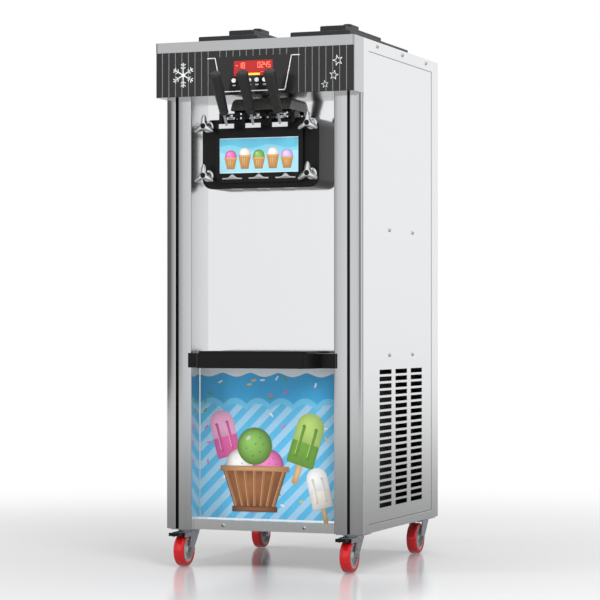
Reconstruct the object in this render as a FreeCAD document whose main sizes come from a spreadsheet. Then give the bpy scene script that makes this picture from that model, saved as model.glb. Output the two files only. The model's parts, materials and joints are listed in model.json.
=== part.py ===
"""Floor-standing soft-serve ice cream machine with two flavours and a twist.

Frame: +Z up, +Y to the back, +X to the right as seen by the user. The origin is
the middle of the overall footprint, on the floor. All sizes are in millimetres
and degrees, and each one is named once in the sheet called Sizes.
"""

import math
import os

import FreeCAD
import Part
import Sketcher

doc = FreeCAD.newDocument("SoftServe")
sheet = doc.addObject("Spreadsheet::Sheet", "Sizes")
nodes = []
rows = [0]


class Size:
    """A length that knows its value now and the sheet formula behind it."""

    def __init__(self, value, text):
        self.value = value
        self.text = text

    def __add__(self, other):
        return Size(self.value + val(other), "(%s + %s)" % (self.text, txt(other)))

    def __radd__(self, other):
        return Size(val(other) + self.value, "(%s + %s)" % (txt(other), self.text))

    def __sub__(self, other):
        return Size(self.value - val(other), "(%s - %s)" % (self.text, txt(other)))

    def __rsub__(self, other):
        return Size(val(other) - self.value, "(%s - %s)" % (txt(other), self.text))

    def __mul__(self, other):
        return Size(self.value * val(other), "(%s * %s)" % (self.text, txt(other)))

    __rmul__ = __mul__

    def __truediv__(self, other):
        return Size(self.value / val(other), "(%s / %s)" % (self.text, txt(other)))

    def __neg__(self):
        return Size(-self.value, "(0 - %s)" % self.text)


def val(a):
    return a.value if isinstance(a, Size) else float(a)


def txt(a):
    if isinstance(a, Size):
        return a.text
    return "(%r)" % float(a) if a < 0 else "%r" % float(a)


def size(name, value):
    rows[0] += 1
    sheet.set("A%d" % rows[0], name)
    sheet.set("B%d" % rows[0], repr(value))
    sheet.setAlias("B%d" % rows[0], name)
    return Size(float(value), "Sizes." + name)


def root(a):
    return Size(math.sqrt(val(a)), "sqrt(%s)" % txt(a))


def lean(back, rise):
    """Angle from upright of a rod that comes forward by back while it rises."""
    degrees = math.degrees(math.atan2(val(back), val(rise)))
    return Size(degrees, "atan2(%s; %s)" % (txt(back), txt(rise)))


def bind(obj, prop, a):
    obj.setExpression(prop, txt(a))


def place(obj, x, y, z):
    bind(obj, "Placement.Base.x", x)
    bind(obj, "Placement.Base.y", y)
    bind(obj, "Placement.Base.z", z)
    return obj


def box(x, y, z):
    """Block between two x, two y and two z values."""
    b = doc.addObject("Part::Box", "block")
    bind(b, "Length", x[1] - x[0])
    bind(b, "Width", y[1] - y[0])
    bind(b, "Height", z[1] - z[0])
    return place(b, x[0], y[0], z[0])


def turn(obj, axis, angle):
    spin = FreeCAD.Rotation(FreeCAD.Vector(*axis), val(angle))
    obj.Placement = FreeCAD.Placement(FreeCAD.Vector(), spin)
    if isinstance(angle, Size):
        obj.setExpression("Placement.Rotation.Angle", txt(angle))


def rod(radius, start, length, axis="z", tip=None):
    """Round bar from start along an axis; with tip it is a cone."""
    kind = "Part::Cylinder" if tip is None else "Part::Cone"
    c = doc.addObject(kind, "bar")
    if tip is None:
        bind(c, "Radius", radius)
    else:
        bind(c, "Radius1", radius)
        bind(c, "Radius2", tip)
    bind(c, "Height", length)
    if axis == "y":
        turn(c, (1, 0, 0), -90)
    elif axis == "x":
        turn(c, (0, 1, 0), 90)
    elif isinstance(axis, Size):
        turn(c, (1, 0, 0), axis)
    return place(c, *start)


def ball(radius, at):
    b = doc.addObject("Part::Sphere", "ball")
    bind(b, "Radius", radius)
    return place(b, *at)


def fuse(*items):
    f = doc.addObject("Part::MultiFuse", "join")
    f.Shapes = list(items)
    f.Refine = True
    return f


def cut(base, *tools):
    c = doc.addObject("Part::Cut", "cut")
    c.Base = base
    c.Tool = tools[0] if len(tools) == 1 else group(*tools)
    c.Refine = True
    return c


def group(*items):
    g = doc.addObject("Part::MultiFuse", "tools")
    g.Shapes = list(items)
    return g


def apart(*items):
    """Separate pieces kept together as one group."""
    g = doc.addObject("Part::Compound", "set")
    g.Links = list(items)
    return g


def mirror(obj):
    m = doc.addObject("Part::Mirroring", "mirror")
    m.Source = obj
    m.Base = (0, 0, 0)
    m.Normal = (1, 0, 0)
    return m


def node(label, obj):
    obj.Label = label
    nodes.append(obj)
    return obj


def plane(body, role):
    for f in body.Origin.OriginFeatures:
        if f.Role == role:
            return f
    raise RuntimeError("no plane " + role)


def outline(body, role, loops, rings=()):
    """Sketch of closed polygons and circles, every point tied to its size."""
    sk = body.newObject("Sketcher::SketchObject", "outline")
    sk.AttachmentSupport = (plane(body, role), "")
    sk.MapMode = "FlatFace"
    ties = []
    for pts in loops:
        first = sk.GeometryCount
        n = len(pts)
        for i in range(n):
            a = FreeCAD.Vector(val(pts[i][0]), val(pts[i][1]), 0)
            q = pts[(i + 1) % n]
            b = FreeCAD.Vector(val(q[0]), val(q[1]), 0)
            sk.addGeometry(Part.LineSegment(a, b), False)
        for i in range(n):
            nxt = first + (i + 1) % n
            sk.addConstraint(Sketcher.Constraint("Coincident", first + i, 2, nxt, 1))
        for i in range(n):
            for kind, k in (("DistanceX", 0), ("DistanceY", 1)):
                at = val(pts[i][k])
                tie = Sketcher.Constraint(kind, -1, 1, first + i, 1, at)
                ties.append((sk.addConstraint(tie), pts[i][k]))
    for x, y, r in rings:
        mid = FreeCAD.Vector(val(x), val(y), 0)
        up = FreeCAD.Vector(0, 0, 1)
        g = sk.addGeometry(Part.Circle(mid, up, val(r)), False)
        tie = Sketcher.Constraint("DistanceX", -1, 1, g, 3, val(x))
        ties.append((sk.addConstraint(tie), x))
        tie = Sketcher.Constraint("DistanceY", -1, 1, g, 3, val(y))
        ties.append((sk.addConstraint(tie), y))
        tie = Sketcher.Constraint("Radius", g, val(r))
        ties.append((sk.addConstraint(tie), r))
    for index, a in ties:
        if isinstance(a, Size):
            sk.setExpression("Constraints[%d]" % index, txt(a))
    sk.Visibility = False
    return sk


def prism(role, loops, depth, at=(0, 0, 0), rings=(), rev=False):
    """Body padded from polygons along its plane's normal, or against it."""
    body = doc.addObject("PartDesign::Body", "body")
    sk = outline(body, role, loops, rings)
    pad = body.newObject("PartDesign::Pad", "pad")
    pad.Profile = sk
    bind(pad, "Length", depth)
    pad.Reversed = rev
    place(body, *at)
    settle(body, sk, pad)
    return body


def settle(body, *features):
    """Work out the newest features of a body, then the body itself."""
    sheet.recompute()
    for f in features:
        f.recompute()
    body.recompute()


def round_edges(body, radius, test):
    """Fillet of the edges whose middle point passes the test."""
    base = body.Tip
    names = []
    for i, e in enumerate(base.Shape.Edges):
        m = e.valueAt((e.FirstParameter + e.LastParameter) / 2)
        d = e.tangentAt(e.FirstParameter)
        if test(m, d):
            names.append("Edge%d" % (i + 1))
    if not names:
        raise RuntimeError("no edge to round")
    f = body.newObject("PartDesign::Fillet", "round")
    f.Base = (base, names)
    bind(f, "Radius", radius)
    settle(body, f)
    return body


def sink(body, role, loops, depth, rings=(), both=False, rev=False):
    """Pocket from the body's own plane."""
    sk = outline(body, role, loops, rings)
    p = body.newObject("PartDesign::Pocket", "sink")
    p.Profile = sk
    bind(p, "Length", depth)
    p.Midplane = both
    p.Reversed = rev
    settle(body, sk, p)
    return p


def tile(a, b):
    """Rectangle between two corners, as a polygon."""
    return [(a[0], b[0]), (a[1], b[0]), (a[1], b[1]), (a[0], b[1])]


# Cabinet
cab_w = size("cabinet_width", 520.0)
cab_d = size("cabinet_depth", 600.0)
cab_h = size("cabinet_height", 1199.0)
ground = size("ground_clearance", 94.0)
face = size("post_face", -233.12)
sheet_t = size("sheet_thickness", 2.0)
# How far a cut runs past a face, and how deep joined solids reach into each other
past = 5.0
bite = 1.0
fit = size("moving_gap", 0.3)
run = size("running_clearance", 0.05)
recess = size("recess_depth", 54.0)
post_w = size("post_width", 70.0)
post_d = size("post_depth", 54.0)
post_wall = size("post_wall", 2.0)
post_round = size("post_corner", 9.0)
groove_w = size("groove_width", 8.0)
groove_d = size("groove_depth", 8.0)
groove_in = size("groove_from_inner_edge", 34.0)
lap = size("side_panel_setback", 14.0)
half = cab_w / 2
top = ground + cab_h
back = face + cab_d
inner = half - sheet_t
post_in = inner - post_w
panel_y = face + recess

# Header
header_h = size("header_height", 134.0)
overhang = size("header_overhang", 55.0)
band_h = size("band_height", 25.0)
fascia_t = size("fascia_thickness", 4.0)
header_z = top - header_h
header_y = face - overhang
button_r = size("button_radius", 5.2)
button_pitch = size("button_pitch", 20.0)
button_z = size("button_height", 1193.5)
button_out = size("button_stand", 3.0)
screen_w = size("display_width", 102.0)
screen_h = size("display_height", 37.0)
screen_z = size("display_middle", 1223.0)

# Dispensing head
head_w = size("head_width", 307.0)
head_h = size("head_height", 170.0)
head_z = size("head_bottom", 934.0)
head_out = size("head_front", 10.0)
head_round = size("head_corner", 25.0)
plate_w = size("picture_block_width", 230.0)
plate_t = size("picture_block_depth", 8.0)
pitch = size("lever_pitch", 70.0)
valve_r = size("plunger_radius", 14.0)
valve_y = size("plunger_setback", 14.0)
valve_end = size("plunger_bottom", 950.0)
nozzle_r = size("nozzle_radius", 17.0)
nozzle_t = size("nozzle_thickness", 8.0)
stud_x = size("stud_spread", 136.0)
stud_hi = size("upper_stud_height", 1087.0)
stud_lo = size("lower_stud_height", 966.0)
stud_r = size("stud_radius", 5.0)
head_top = head_z + head_h
head_y = face - head_out
tip_y = face + valve_y

# Levers
pivot_out = size("pivot_forward", 24.0)
pivot_z = size("pivot_height", 1110.0)
pin_r = size("pivot_pin_radius", 3.0)
hub_r = size("lever_hub_radius", 7.0)
hub_w = size("lever_hub_width", 14.0)
arm_r = size("lever_arm_radius", 3.0)
arm_back = size("lever_arm_reach", 46.0)
foot_y = size("lever_foot_forward", 50.0)
foot_z = size("lever_foot_height", 1083.5)
foot_w = size("lever_foot_width", 40.0)
foot_h = size("lever_foot_thickness", 11.0)
rod_r = size("lever_rod_radius", 4.0)
grip_lo = size("grip_bottom_height", 1112.0)
grip_hi = size("grip_top_height", 1203.0)
grip_fwd = size("grip_top_forward", 124.0)
grip_r = size("grip_bottom_radius", 11.2)
grip_tip = size("grip_top_radius", 15.0)
ear_t = size("pivot_ear_thickness", 8.0)
pivot_y = face - pivot_out

# Lids and hoppers
lid_x = size("lid_offset", 123.5)
lid_w = size("lid_width", 157.0)
lid_front = size("lid_setback", 72.0)
lid_d = size("lid_depth", 458.0)
lid_h = size("lid_height", 28.5)
lid_t = size("lid_wall", 3.0)
tier_w = size("lid_bar_width", 68.0)
tier_d = size("lid_bar_depth", 281.0)
tier_y = size("lid_bar_setback", 90.0)
tier_h = size("lid_bar_height", 24.5)
knob_w = size("lid_handle_width", 21.0)
knob_d = size("lid_handle_depth", 70.0)
knob_y = size("lid_handle_setback", 195.0)
knob_h = size("lid_handle_height", 17.0)
tank_w = size("hopper_width", 140.0)
tank_d = size("hopper_depth", 440.0)
tank_z = size("hopper_floor", 1180.0)
tank_t = size("hopper_wall", 1.5)
rim_h = size("hopper_rim", 12.0)

# Drip tray
tray_z = size("tray_bottom", 494.5)
tray_h = size("tray_height", 36.0)
tray_w = size("tray_flange_width", 388.0)
tray_lip = size("tray_flange_thickness", 6.0)
tray_out = size("tray_reach", 77.0)
bulge_w = size("tray_front_width", 284.0)
bulge_root = size("tray_root_width", 316.0)
tray_t = size("tray_wall", 3.0)
grid_t = size("grid_thickness", 5.5)
grid_back = size("grid_back", 25.0)
slot_w = size("grid_slot_width", 7.0)
slot_step = size("grid_slot_pitch", 16.0)
tray_top = tray_z + tray_h

# Side panel vents
vent_w = size("vent_width", 91.0)
vent_h = size("vent_height", 11.5)
vent_dy = size("vent_column_pitch", 121.5)
vent_dz = size("vent_row_pitch", 17.3)
vent_y = size("vent_first_column", 178.0)
vent_z = size("vent_first_row", 155.0)
vent_rows = size("vent_rows", 20.0)
vent_cols = size("vent_columns", 3.0)
emboss = size("panel_recess_depth", 0.8)

# Casters
wheel_r = size("wheel_radius", 40.0)
wheel_w = size("wheel_width", 27.0)
hub_core = size("wheel_core_radius", 29.0)
axle_r = size("axle_radius", 4.0)
trail = size("caster_trail", 29.0)
caster_inset = size("caster_inset", 41.0)
caster_x = half - caster_inset
tyre_edge = size("tyre_edge", 5.0)
caster_front = size("front_caster_setback", 56.0)
caster_rear = size("rear_caster_setback", 565.0)
leg_t = size("fork_thickness", 3.0)
king_r = size("king_pin_radius", 6.0)
plate_th = size("caster_plate_thickness", 4.0)
race_r = size("fork_crown_radius", 25.0)
race_t = size("fork_crown_thickness", 7.0)

# Freezing and drive
barrel_x = size("barrel_offset", 75.0)
barrel_z = size("barrel_height", 1020.0)
barrel_r = size("barrel_bore_radius", 44.0)
barrel_t = size("barrel_wall", 5.0)
barrel_d = size("barrel_length", 300.0)
flange_t = size("barrel_flange_thickness", 8.0)
shaft_r = size("beater_shaft_radius", 9.0)
gear_d = size("gearcase_depth", 58.0)
shelf_z = size("shelf_height", 925.0)
shelf_t = size("shelf_thickness", 3.0)
comp_r = size("compressor_radius", 85.0)
comp_h = size("compressor_height", 210.0)
coil_y = size("condenser_setback", 95.0)
coil_d = size("condenser_width", 225.0)
coil_h = size("condenser_height", 370.0)
coil_t = size("condenser_thickness", 45.0)
condenser_inset = size("condenser_inset", 80.0)
coil_x = inner - condenser_inset
fan_r = size("fan_radius", 88.0)
doc.recompute()

# Base pan, shelf and rear uprights
pan_x = (-inner, inner)
floor_z = ground + sheet_t
pan_front = size("pan_setback", 14.0)
base = [box(pan_x, (face + post_d, back - sheet_t), (ground, floor_z)),
        box((-post_in, post_in), (face + pan_front, face + post_d), (ground, floor_z))]
shelf_setback = size("shelf_setback", 12.0)
shelf_y = panel_y + shelf_setback
base.append(box(pan_x, (shelf_y, back - sheet_t), (shelf_z, shelf_z + shelf_t)))
angle_w = size("upright_width", 26.0)
angle_t = size("upright_thickness", 3.0)
upright_drop = size("upright_drop", 40.0)
angle_top = top - upright_drop
strut_gap = size("strut_gap", 4.0)
strut_x = post_in - strut_gap
for s in (-1, 1):
    xs = (inner - angle_w, inner) if s > 0 else (-inner, angle_w - inner)
    base.append(box(xs, (back - sheet_t - angle_t, back - sheet_t), (ground, angle_top)))
    xw = (inner - angle_t, inner) if s > 0 else (-inner, angle_t - inner)
    base.append(box(xw, (back - sheet_t - angle_w, back - sheet_t), (ground, angle_top)))
    xf = (strut_x - angle_w, strut_x) if s > 0 else (-strut_x, angle_w - strut_x)
    base.append(box(xf, (shelf_y, shelf_y + angle_t), (ground, shelf_z)))
node("base_frame", fuse(*base))

# Front posts: hollow rolled sections with a shadow groove
g_a = post_in + groove_in
g_b = g_a + groove_w
w = post_wall
right_post = prism("XY_Plane", [
    [(post_in, 0), (g_a, 0), (g_a, groove_d), (g_b, groove_d), (g_b, 0),
     (inner, 0), (inner, post_d), (post_in, post_d)],
    [(post_in + w, w), (g_a - w, w), (g_a - w, groove_d + w), (g_b + w, groove_d + w),
     (g_b + w, w), (inner - post_round, w), (inner - w, post_round),
     (inner - w, post_d - w), (post_in + w, post_d - w)]],
    header_z - ground, (0, face, ground))
edge_x = val(inner)
round_edges(right_post, post_round,
            lambda m, d: abs(m.x - edge_x) < 0.1 and abs(m.y) < 0.1 and abs(d.z) > 0.9)
edge_a = val(post_in)
post_inner_corner = size("post_inner_corner", 1.6)
round_edges(right_post, post_inner_corner,
            lambda m, d: abs(m.x - edge_a) < 0.1 and abs(m.y) < 0.1 and abs(d.z) > 0.9)
node("right_post", right_post)
node("left_post", mirror(right_post))

# Side panels with a sunk field and rows of vents
side = prism("YZ_Plane", [tile((lap, cab_d), (0, cab_h))], sheet_t, (half, face, ground),
             rev=True)
field_front = size("field_front", 50.0)
field_back = size("field_back", 547.0)
field_bottom = size("field_bottom", 19.0)
field_top = size("field_top", 1171.0)
sink(side, "YZ_Plane", [tile((field_front, field_back),
                             (field_bottom, field_top))],
     emboss)
vy = (vent_y - vent_w / 2, vent_y + vent_w / 2)
vz = (vent_z - vent_h / 2 - ground, vent_z + vent_h / 2 - ground)
vent = sink(side, "YZ_Plane", [tile(vy, vz)], sheet_t * 4, both=True)
grid = side.newObject("PartDesign::MultiTransform", "vents")
down = side.newObject("PartDesign::LinearPattern", "rows")
down.Direction = (plane(side, "Z_Axis"), [""])
bind(down, "Length", vent_dz * (vent_rows - 1))
bind(down, "Occurrences", vent_rows)
along = side.newObject("PartDesign::LinearPattern", "columns")
along.Direction = (plane(side, "Y_Axis"), [""])
bind(along, "Length", vent_dy * (vent_cols - 1))
bind(along, "Occurrences", vent_cols)
grid.Originals = [vent]
grid.Transformations = [down, along]
side.Tip = grid
doc.recompute()
node("right_side_panel", side)
node("left_side_panel", mirror(side))

# Rear panel with its own vents and the hole for the lead's gland
gland_x = size("gland_offset", -150.0)
gland_z = size("gland_height", 170.0)
gland_r = size("gland_radius", 12.0)
cord_r = size("gland_bore", 4.5)
rear = box(pan_x, (back - sheet_t, back), (ground, top - sheet_t))
through = sheet_t + past * 2
rear_cuts = [rod(gland_r, (gland_x, back - sheet_t - past, gland_z), through, "y")]
slit_n = 9
slit_w = size("rear_vent_width", 260.0)
slit_z = size("rear_vent_bottom", 260.0)
for i in range(slit_n):
    low = slit_z + vent_dz * i
    rear_cuts.append(box((-slit_w / 2, slit_w / 2), (back - sheet_t - past, back + past),
                         (low, low + vent_h)))
node("rear_panel", cut(rear, *rear_cuts))
gland_l = size("gland_length", 22.0)
gland_lip = size("gland_lip", 5.0)
gland_lip_t = size("gland_lip_thickness", 3.0)
gland = fuse(rod(gland_r, (gland_x, back - gland_l, gland_z), gland_l, "y"),
             rod(gland_r + gland_lip, (gland_x, back, gland_z), gland_lip_t, "y"))
node("cord_gland", cut(gland, rod(cord_r, (gland_x, back - gland_l - past, gland_z),
                                  gland_l + gland_lip_t + past * 2, "y")))

# Front panels and sill
open_x = (-post_in, post_in)
seat = size("head_seat", 8.0)
door = head_w / 2 - seat
door_z = (head_z + seat, head_top - seat)
upper = box(open_x, (panel_y, panel_y + sheet_t), (tray_top, header_z))
node("upper_front_panel", cut(upper, box((-door, door), (panel_y - past, panel_y + sheet_t + past),
                                         door_z)))
sill_h = size("sill_height", 24.0)
sill_setback = size("sill_setback", 11.0)
sill_y = face + sill_setback
node("lower_front_panel", fuse(
    box(open_x, (panel_y, panel_y + sheet_t), (ground + sill_h - sheet_t, tray_top)),
    box(open_x, (sill_y, sill_y + sheet_t), (ground, ground + sill_h)),
    box(open_x, (sill_y, panel_y + sheet_t), (ground + sill_h - sheet_t, ground + sill_h))))

# Header shell: folded hood with a band over the black fascia
shell_back = face + lap
bend = size("header_bend", 6.0)
hood = prism("XY_Plane", [tile((-half, half), (0, lap + overhang))], header_h,
             (0, header_y, header_z))
round_edges(hood, bend,
            lambda m, d: abs(abs(m.x) - val(half)) < 0.1 and abs(m.y) < 0.1 and abs(d.z) > 0.9)
fy = header_y + fascia_t
in_x = (-inner, inner)
lip = size("header_lip", 6.0)
jamb = size("header_jamb", 8.0)
open_z = (header_z + lip, top - band_h - lip)
node("header_shell", fuse(
    cut(hood,
        box(in_x, (fy + sheet_t, shell_back + past), (header_z + sheet_t, top - sheet_t)),
        box((-half - past, half + past), (header_y - past, fy), (header_z - past, top - band_h)),
        box((jamb - inner, inner - jamb), (header_y - past, fy + sheet_t + past), open_z)),
    box(open_x, (shell_back - bite, panel_y + sheet_t), (header_z, header_z + sheet_t))))

# Fascia, display window and push buttons
cheek = size("fascia_end", 2.0)
fascia = prism("XZ_Plane", [tile((cheek - half, half - cheek), (header_z, top - band_h - fit))],
               fascia_t, (0, fy, 0))
wx = (-screen_w / 2, screen_w / 2)
wz = (screen_z - screen_h / 2, screen_z + screen_h / 2)
sink(fascia, "XZ_Plane", [tile(wx, wz)], fascia_t * 4, both=True)
buttons = 6
cols = [button_pitch * (i - (buttons - 1) / 2) for i in range(buttons)]
sink(fascia, "XZ_Plane", [], fascia_t * 4,
     rings=[(x, button_z, button_r + fit) for x in cols], both=True)
fascia_round = size("fascia_round", 3.0)
round_edges(fascia, fascia_round,
            lambda m, d: abs(abs(m.x) - val(half - cheek)) < 0.1
            and m.y < 0.1 - val(fascia_t) and abs(d.z) > 0.9)
node("control_fascia", fascia)
lens_t = size("display_depth", 3.2)
lens_lip = size("display_lip", 3.0)
lens_lip_t = size("display_lip_thickness", 1.5)
node("display_window", fuse(
    box(wx, (fy - lens_t, fy), wz),
    box((wx[0] - lens_lip, wx[1] + lens_lip), (fy, fy + lens_lip_t),
        (wz[0] - lens_lip, wz[1] + lens_lip))))
collar_w = size("button_collar", 1.5)
collar_t = size("button_collar_thickness", 1.5)
for i, x in enumerate(cols):
    stem = rod(button_r, (x, header_y - button_out, button_z), fascia_t + button_out + fit, "y")
    collar = rod(button_r + collar_w, (x, fy + fit, button_z), collar_t, "y")
    node("button_%d" % (i + 1), fuse(stem, collar))
board_w = size("board_width", 192.0)
board_h = size("board_height", 88.0)
board_t = size("board_thickness", 1.6)
unit_w = size("display_unit_width", 120.0)
unit_h = size("display_unit_height", 8.0)
board_setback = size("board_setback", 8.0)
board_y = fy + sheet_t + board_setback
display_unit_setback = size("display_unit_setback", 5.0)
node("control_board", fuse(
    box((-board_w / 2, board_w / 2), (board_y, board_y + board_t),
        (header_z + sheet_t, header_z + board_h)),
    box((-unit_w / 2, unit_w / 2), (fy + display_unit_setback, board_y),
        (button_z - unit_h / 2, button_z + unit_h / 2))))

# Top deck with two hoppers, their rims and their feed pipes
feed_y = size("feed_setback", 130.0)
feed_r = size("feed_pipe_radius", 12.0)
feed_pipe_wall = size("feed_pipe_wall", 2.0)
feed_bore = feed_r - feed_pipe_wall
feed_boss_height = size("feed_boss_height", 8.0)
boss_z = barrel_z + barrel_r + barrel_t + feed_boss_height
# The deck is strips round the two tanks, and each tank is plates on a floor
tank_y = face + lid_front + lid_d / 2
deck_z = (top - sheet_t, top)
side_a, side_b = lid_x - tank_w / 2 - tank_t, lid_x + tank_w / 2 + tank_t
ty = (tank_y - tank_d / 2, tank_y + tank_d / 2)
wy = (ty[0] - tank_t, ty[1] + tank_t)
deck = [box(in_x, (shell_back, wy[0]), deck_z), box(in_x, (wy[1], back), deck_z),
        box((-side_a, side_a), wy, deck_z),
        box((-inner, -side_b), wy, deck_z), box((side_b, inner), wy, deck_z)]
wall_z = (tank_z, top + rim_h)
for s in (-1, 1):
    cx = lid_x * s
    tx = (cx - tank_w / 2, cx + tank_w / 2)
    wx = (tx[0] - tank_t, tx[1] + tank_t)
    fx = barrel_x * s
    pipe_at = (fx, face + feed_y, boss_z)
    deck.append(cut(box(wx, wy, (tank_z - tank_t, tank_z)),
                    rod(feed_bore, (fx, face + feed_y, tank_z - tank_t - past), tank_t + past * 2)))
    deck.append(box(wx, (wy[0], ty[0]), wall_z))
    deck.append(box(wx, (ty[1], wy[1]), wall_z))
    deck.append(box((wx[0], tx[0]), ty, wall_z))
    deck.append(box((tx[1], wx[1]), ty, wall_z))
    pipe_h = tank_z - tank_t - boss_z
    deck.append(cut(rod(feed_r, pipe_at, pipe_h),
                    rod(feed_bore, (fx, face + feed_y, boss_z - past), pipe_h + past * 2)))
node("hopper_deck", apart(*deck))

# Lids: skirted cover, a stiffening bar along it and a handle block
def lid(s):
    cx = lid_x * s
    lx = (cx - lid_w / 2, cx + lid_w / 2)
    ly = (face + lid_front, face + lid_front + lid_d)
    tx = (cx - tier_w / 2, cx + tier_w / 2)
    ty = (ly[0] + tier_y, ly[0] + tier_y + tier_d)
    kx = (cx - knob_w / 2, cx + knob_w / 2)
    ky = (ly[0] + knob_y, ly[0] + knob_y + knob_d)
    cover = prism("XY_Plane", [tile((0, lid_w), (0, lid_d))], lid_h, (lx[0], ly[0], top))
    round_edges(cover, lid_round, lambda m, d: abs(d.z) > 0.9)
    zt = val(lid_h)
    round_edges(cover, lid_edge, lambda m, d: abs(m.z - zt) < 0.01)
    tier = prism("XY_Plane", [tile((0, tier_w), (0, tier_d))], tier_h,
                 (tx[0], ty[0], top + lid_h))
    round_edges(tier, lid_round, lambda m, d: abs(d.z) > 0.9)
    tt = val(tier_h)
    round_edges(tier, lid_edge, lambda m, d: abs(m.z - tt) < 0.01)
    knob = prism("XY_Plane", [tile((0, knob_w), (0, knob_d))], knob_h,
                 (kx[0], ky[0], top + lid_h + tier_h))
    round_edges(knob, lid_round, lambda m, d: abs(d.z) > 0.9)
    kt = val(knob_h)
    round_edges(knob, lid_edge, lambda m, d: abs(m.z - kt) < 0.01)
    hollow = box((lx[0] + lid_t, lx[1] - lid_t), (ly[0] + lid_t, ly[1] - lid_t),
                 (top - past, top + lid_h - lid_t))
    return cut(fuse(cover, tier, knob), hollow)


lid_round = size("lid_corner", 8.0)
lid_edge = size("lid_edge", 2.0)
node("left_lid", lid(-1))
node("right_lid", lid(1))

# Freezing barrels on a common flange with four studs
knob_back = size("hand_screw_length", 38.0)
stud_end = size("stud_end", 8.0)
boss_t = size("feed_boss_wall", 4.0)
barrel_end = size("barrel_end_wall", 10.0)
barrels = [box((-door, door), (panel_y, panel_y + flange_t), door_z)]
bores = []
for s in (-1, 1):
    bx = barrel_x * s
    barrels.append(rod(barrel_r + barrel_t, (bx, panel_y, barrel_z), barrel_d, "y"))
    barrels.append(rod(feed_r + boss_t, (bx, face + feed_y, barrel_z + barrel_r + bite),
                       boss_z - barrel_z - barrel_r - bite))
    bores.append(rod(barrel_r, (bx, panel_y - past, barrel_z), barrel_d + past - barrel_end, "y"))
    bores.append(rod(shaft_r + run, (bx, panel_y, barrel_z), barrel_d + past, "y"))
    bores.append(rod(feed_bore, (bx, face + feed_y, barrel_z), boss_z - barrel_z + past))
    for z in (stud_hi, stud_lo):
        barrels.append(rod(stud_r, (stud_x * s, head_y - knob_back + stud_end, z),
                           panel_y - head_y + knob_back - stud_end + bite, "y"))
node("freezing_barrels", cut(fuse(*barrels), *bores))

# Gearcase and motor behind the barrels
gear_y = panel_y + barrel_d
case_w = size("gearcase_width", 250.0)
gearcase_rise = size("gearcase_rise", 60.0)
case_top = barrel_z + gearcase_rise
motor_l = size("motor_length", 140.0)
motor_drop = size("motor_drop", 20.0)
motor_z = barrel_z - motor_drop
socket_d = size("socket_depth", 35.0)
motor_radius = size("motor_radius", 62.0)
motor_boss_radius = size("motor_boss_radius", 20.0)
motor_boss = size("motor_boss", 12.0)
case = [box((-case_w / 2, case_w / 2), (gear_y + fit, gear_y + gear_d),
            (shelf_z + shelf_t, case_top)),
        rod(motor_radius, (0, gear_y + gear_d - bite, motor_z), motor_l, "y"),
        rod(motor_boss_radius, (0, gear_y + gear_d + motor_l - bite * 2, motor_z),
            motor_boss, "y")]
sockets = []
for s in (-1, 1):
    sockets.append(rod(shaft_r + run, (barrel_x * s, gear_y - past, barrel_z), socket_d + past, "y"))
node("gear_motor", cut(fuse(*case), *sockets))

# Beaters: a shaft with hoops that carry two scraper blades
nose_l = size("beater_nose_length", 16.0)
beater_nose_step = size("beater_nose_step", 3.0)
nose_r = shaft_r + beater_nose_step
beater_setback = size("beater_setback", 6.0)
beater_y = panel_y + beater_setback
shaft_y = beater_y + nose_l - bite * 2
shaft_end_gap = size("shaft_end_gap", 5.0)
shaft_end = gear_y + socket_d - shaft_end_gap - fit
scraper_clearance = size("scraper_clearance", 1.5)
scraper_r = barrel_r - scraper_clearance
scraper_w = size("scraper_width", 12.0)
scraper_end_gap = size("scraper_end_gap", 10.0)
scraper_end = gear_y - barrel_end - scraper_end_gap
scraper_lo, scraper_hi = scraper_r * 0.8, scraper_r * 0.97
hoops = 3
hoop_w = size("hoop_width", 8.0)
hoop_t = size("hoop_thickness", 9.0)
hoop_setback = size("hoop_setback", 12.0)
hoop_y = beater_y + hoop_setback
hoop_margin = size("hoop_margin", 60.0)
hoop_step = (barrel_d - hoop_margin) / (hoops - 1)
hoop_r = scraper_r * 0.85


def beater(s):
    bx = barrel_x * s
    parts = [rod(shaft_r, (bx, shaft_y, barrel_z), shaft_end - shaft_y, "y"),
             rod(nose_r, (bx, beater_y, barrel_z), nose_l, "y")]
    for low, high in ((barrel_z + scraper_lo, barrel_z + scraper_hi),
                      (barrel_z - scraper_hi, barrel_z - scraper_lo)):
        parts.append(box((bx - scraper_w / 2, bx + scraper_w / 2), (beater_y, scraper_end), (low, high)))
    for k in range(hoops):
        yk = hoop_y + hoop_step * k
        parts.append(box((bx - hoop_w / 2, bx + hoop_w / 2), (yk, yk + hoop_t),
                         (barrel_z - hoop_r, barrel_z + hoop_r)))
    return fuse(*parts)


node("left_beater", beater(-1))
node("right_beater", beater(1))

# Dispensing head: block with three valve bores, ears and a picture block
hb = prism("XZ_Plane", [tile((-head_w / 2, head_w / 2), (head_z, head_top))],
           panel_y - head_y, (0, panel_y, 0))
round_edges(hb, head_round, lambda m, d: abs(d.y) > 0.9)
yf = -val(panel_y - head_y)
head_edge = size("head_edge", 2.5)
round_edges(hb, head_edge, lambda m, d: abs(m.y - yf) < 0.01)
picture_block_rise = size("picture_block_rise", 14.0)
picture_block_drop = size("picture_block_drop", 8.0)
pb = prism("XZ_Plane", [tile((-plate_w / 2, plate_w / 2),
                             (head_z + picture_block_rise,
                              head_top - picture_block_drop))],
           plate_t + bite, (0, head_y + bite, 0))
picture_block_corner = size("picture_block_corner", 8.0)
round_edges(pb, picture_block_corner, lambda m, d: abs(d.y) > 0.9)
head = [hb, pb]
channel_reach = size("channel_reach", 20.0)
channel_x = pitch + channel_reach
channel_rise = size("channel_rise", 30.0)
channel_z = head_z + channel_rise
channel_h = size("channel_height", 14.0)
channel_depth = size("channel_depth", 10.0)
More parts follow.
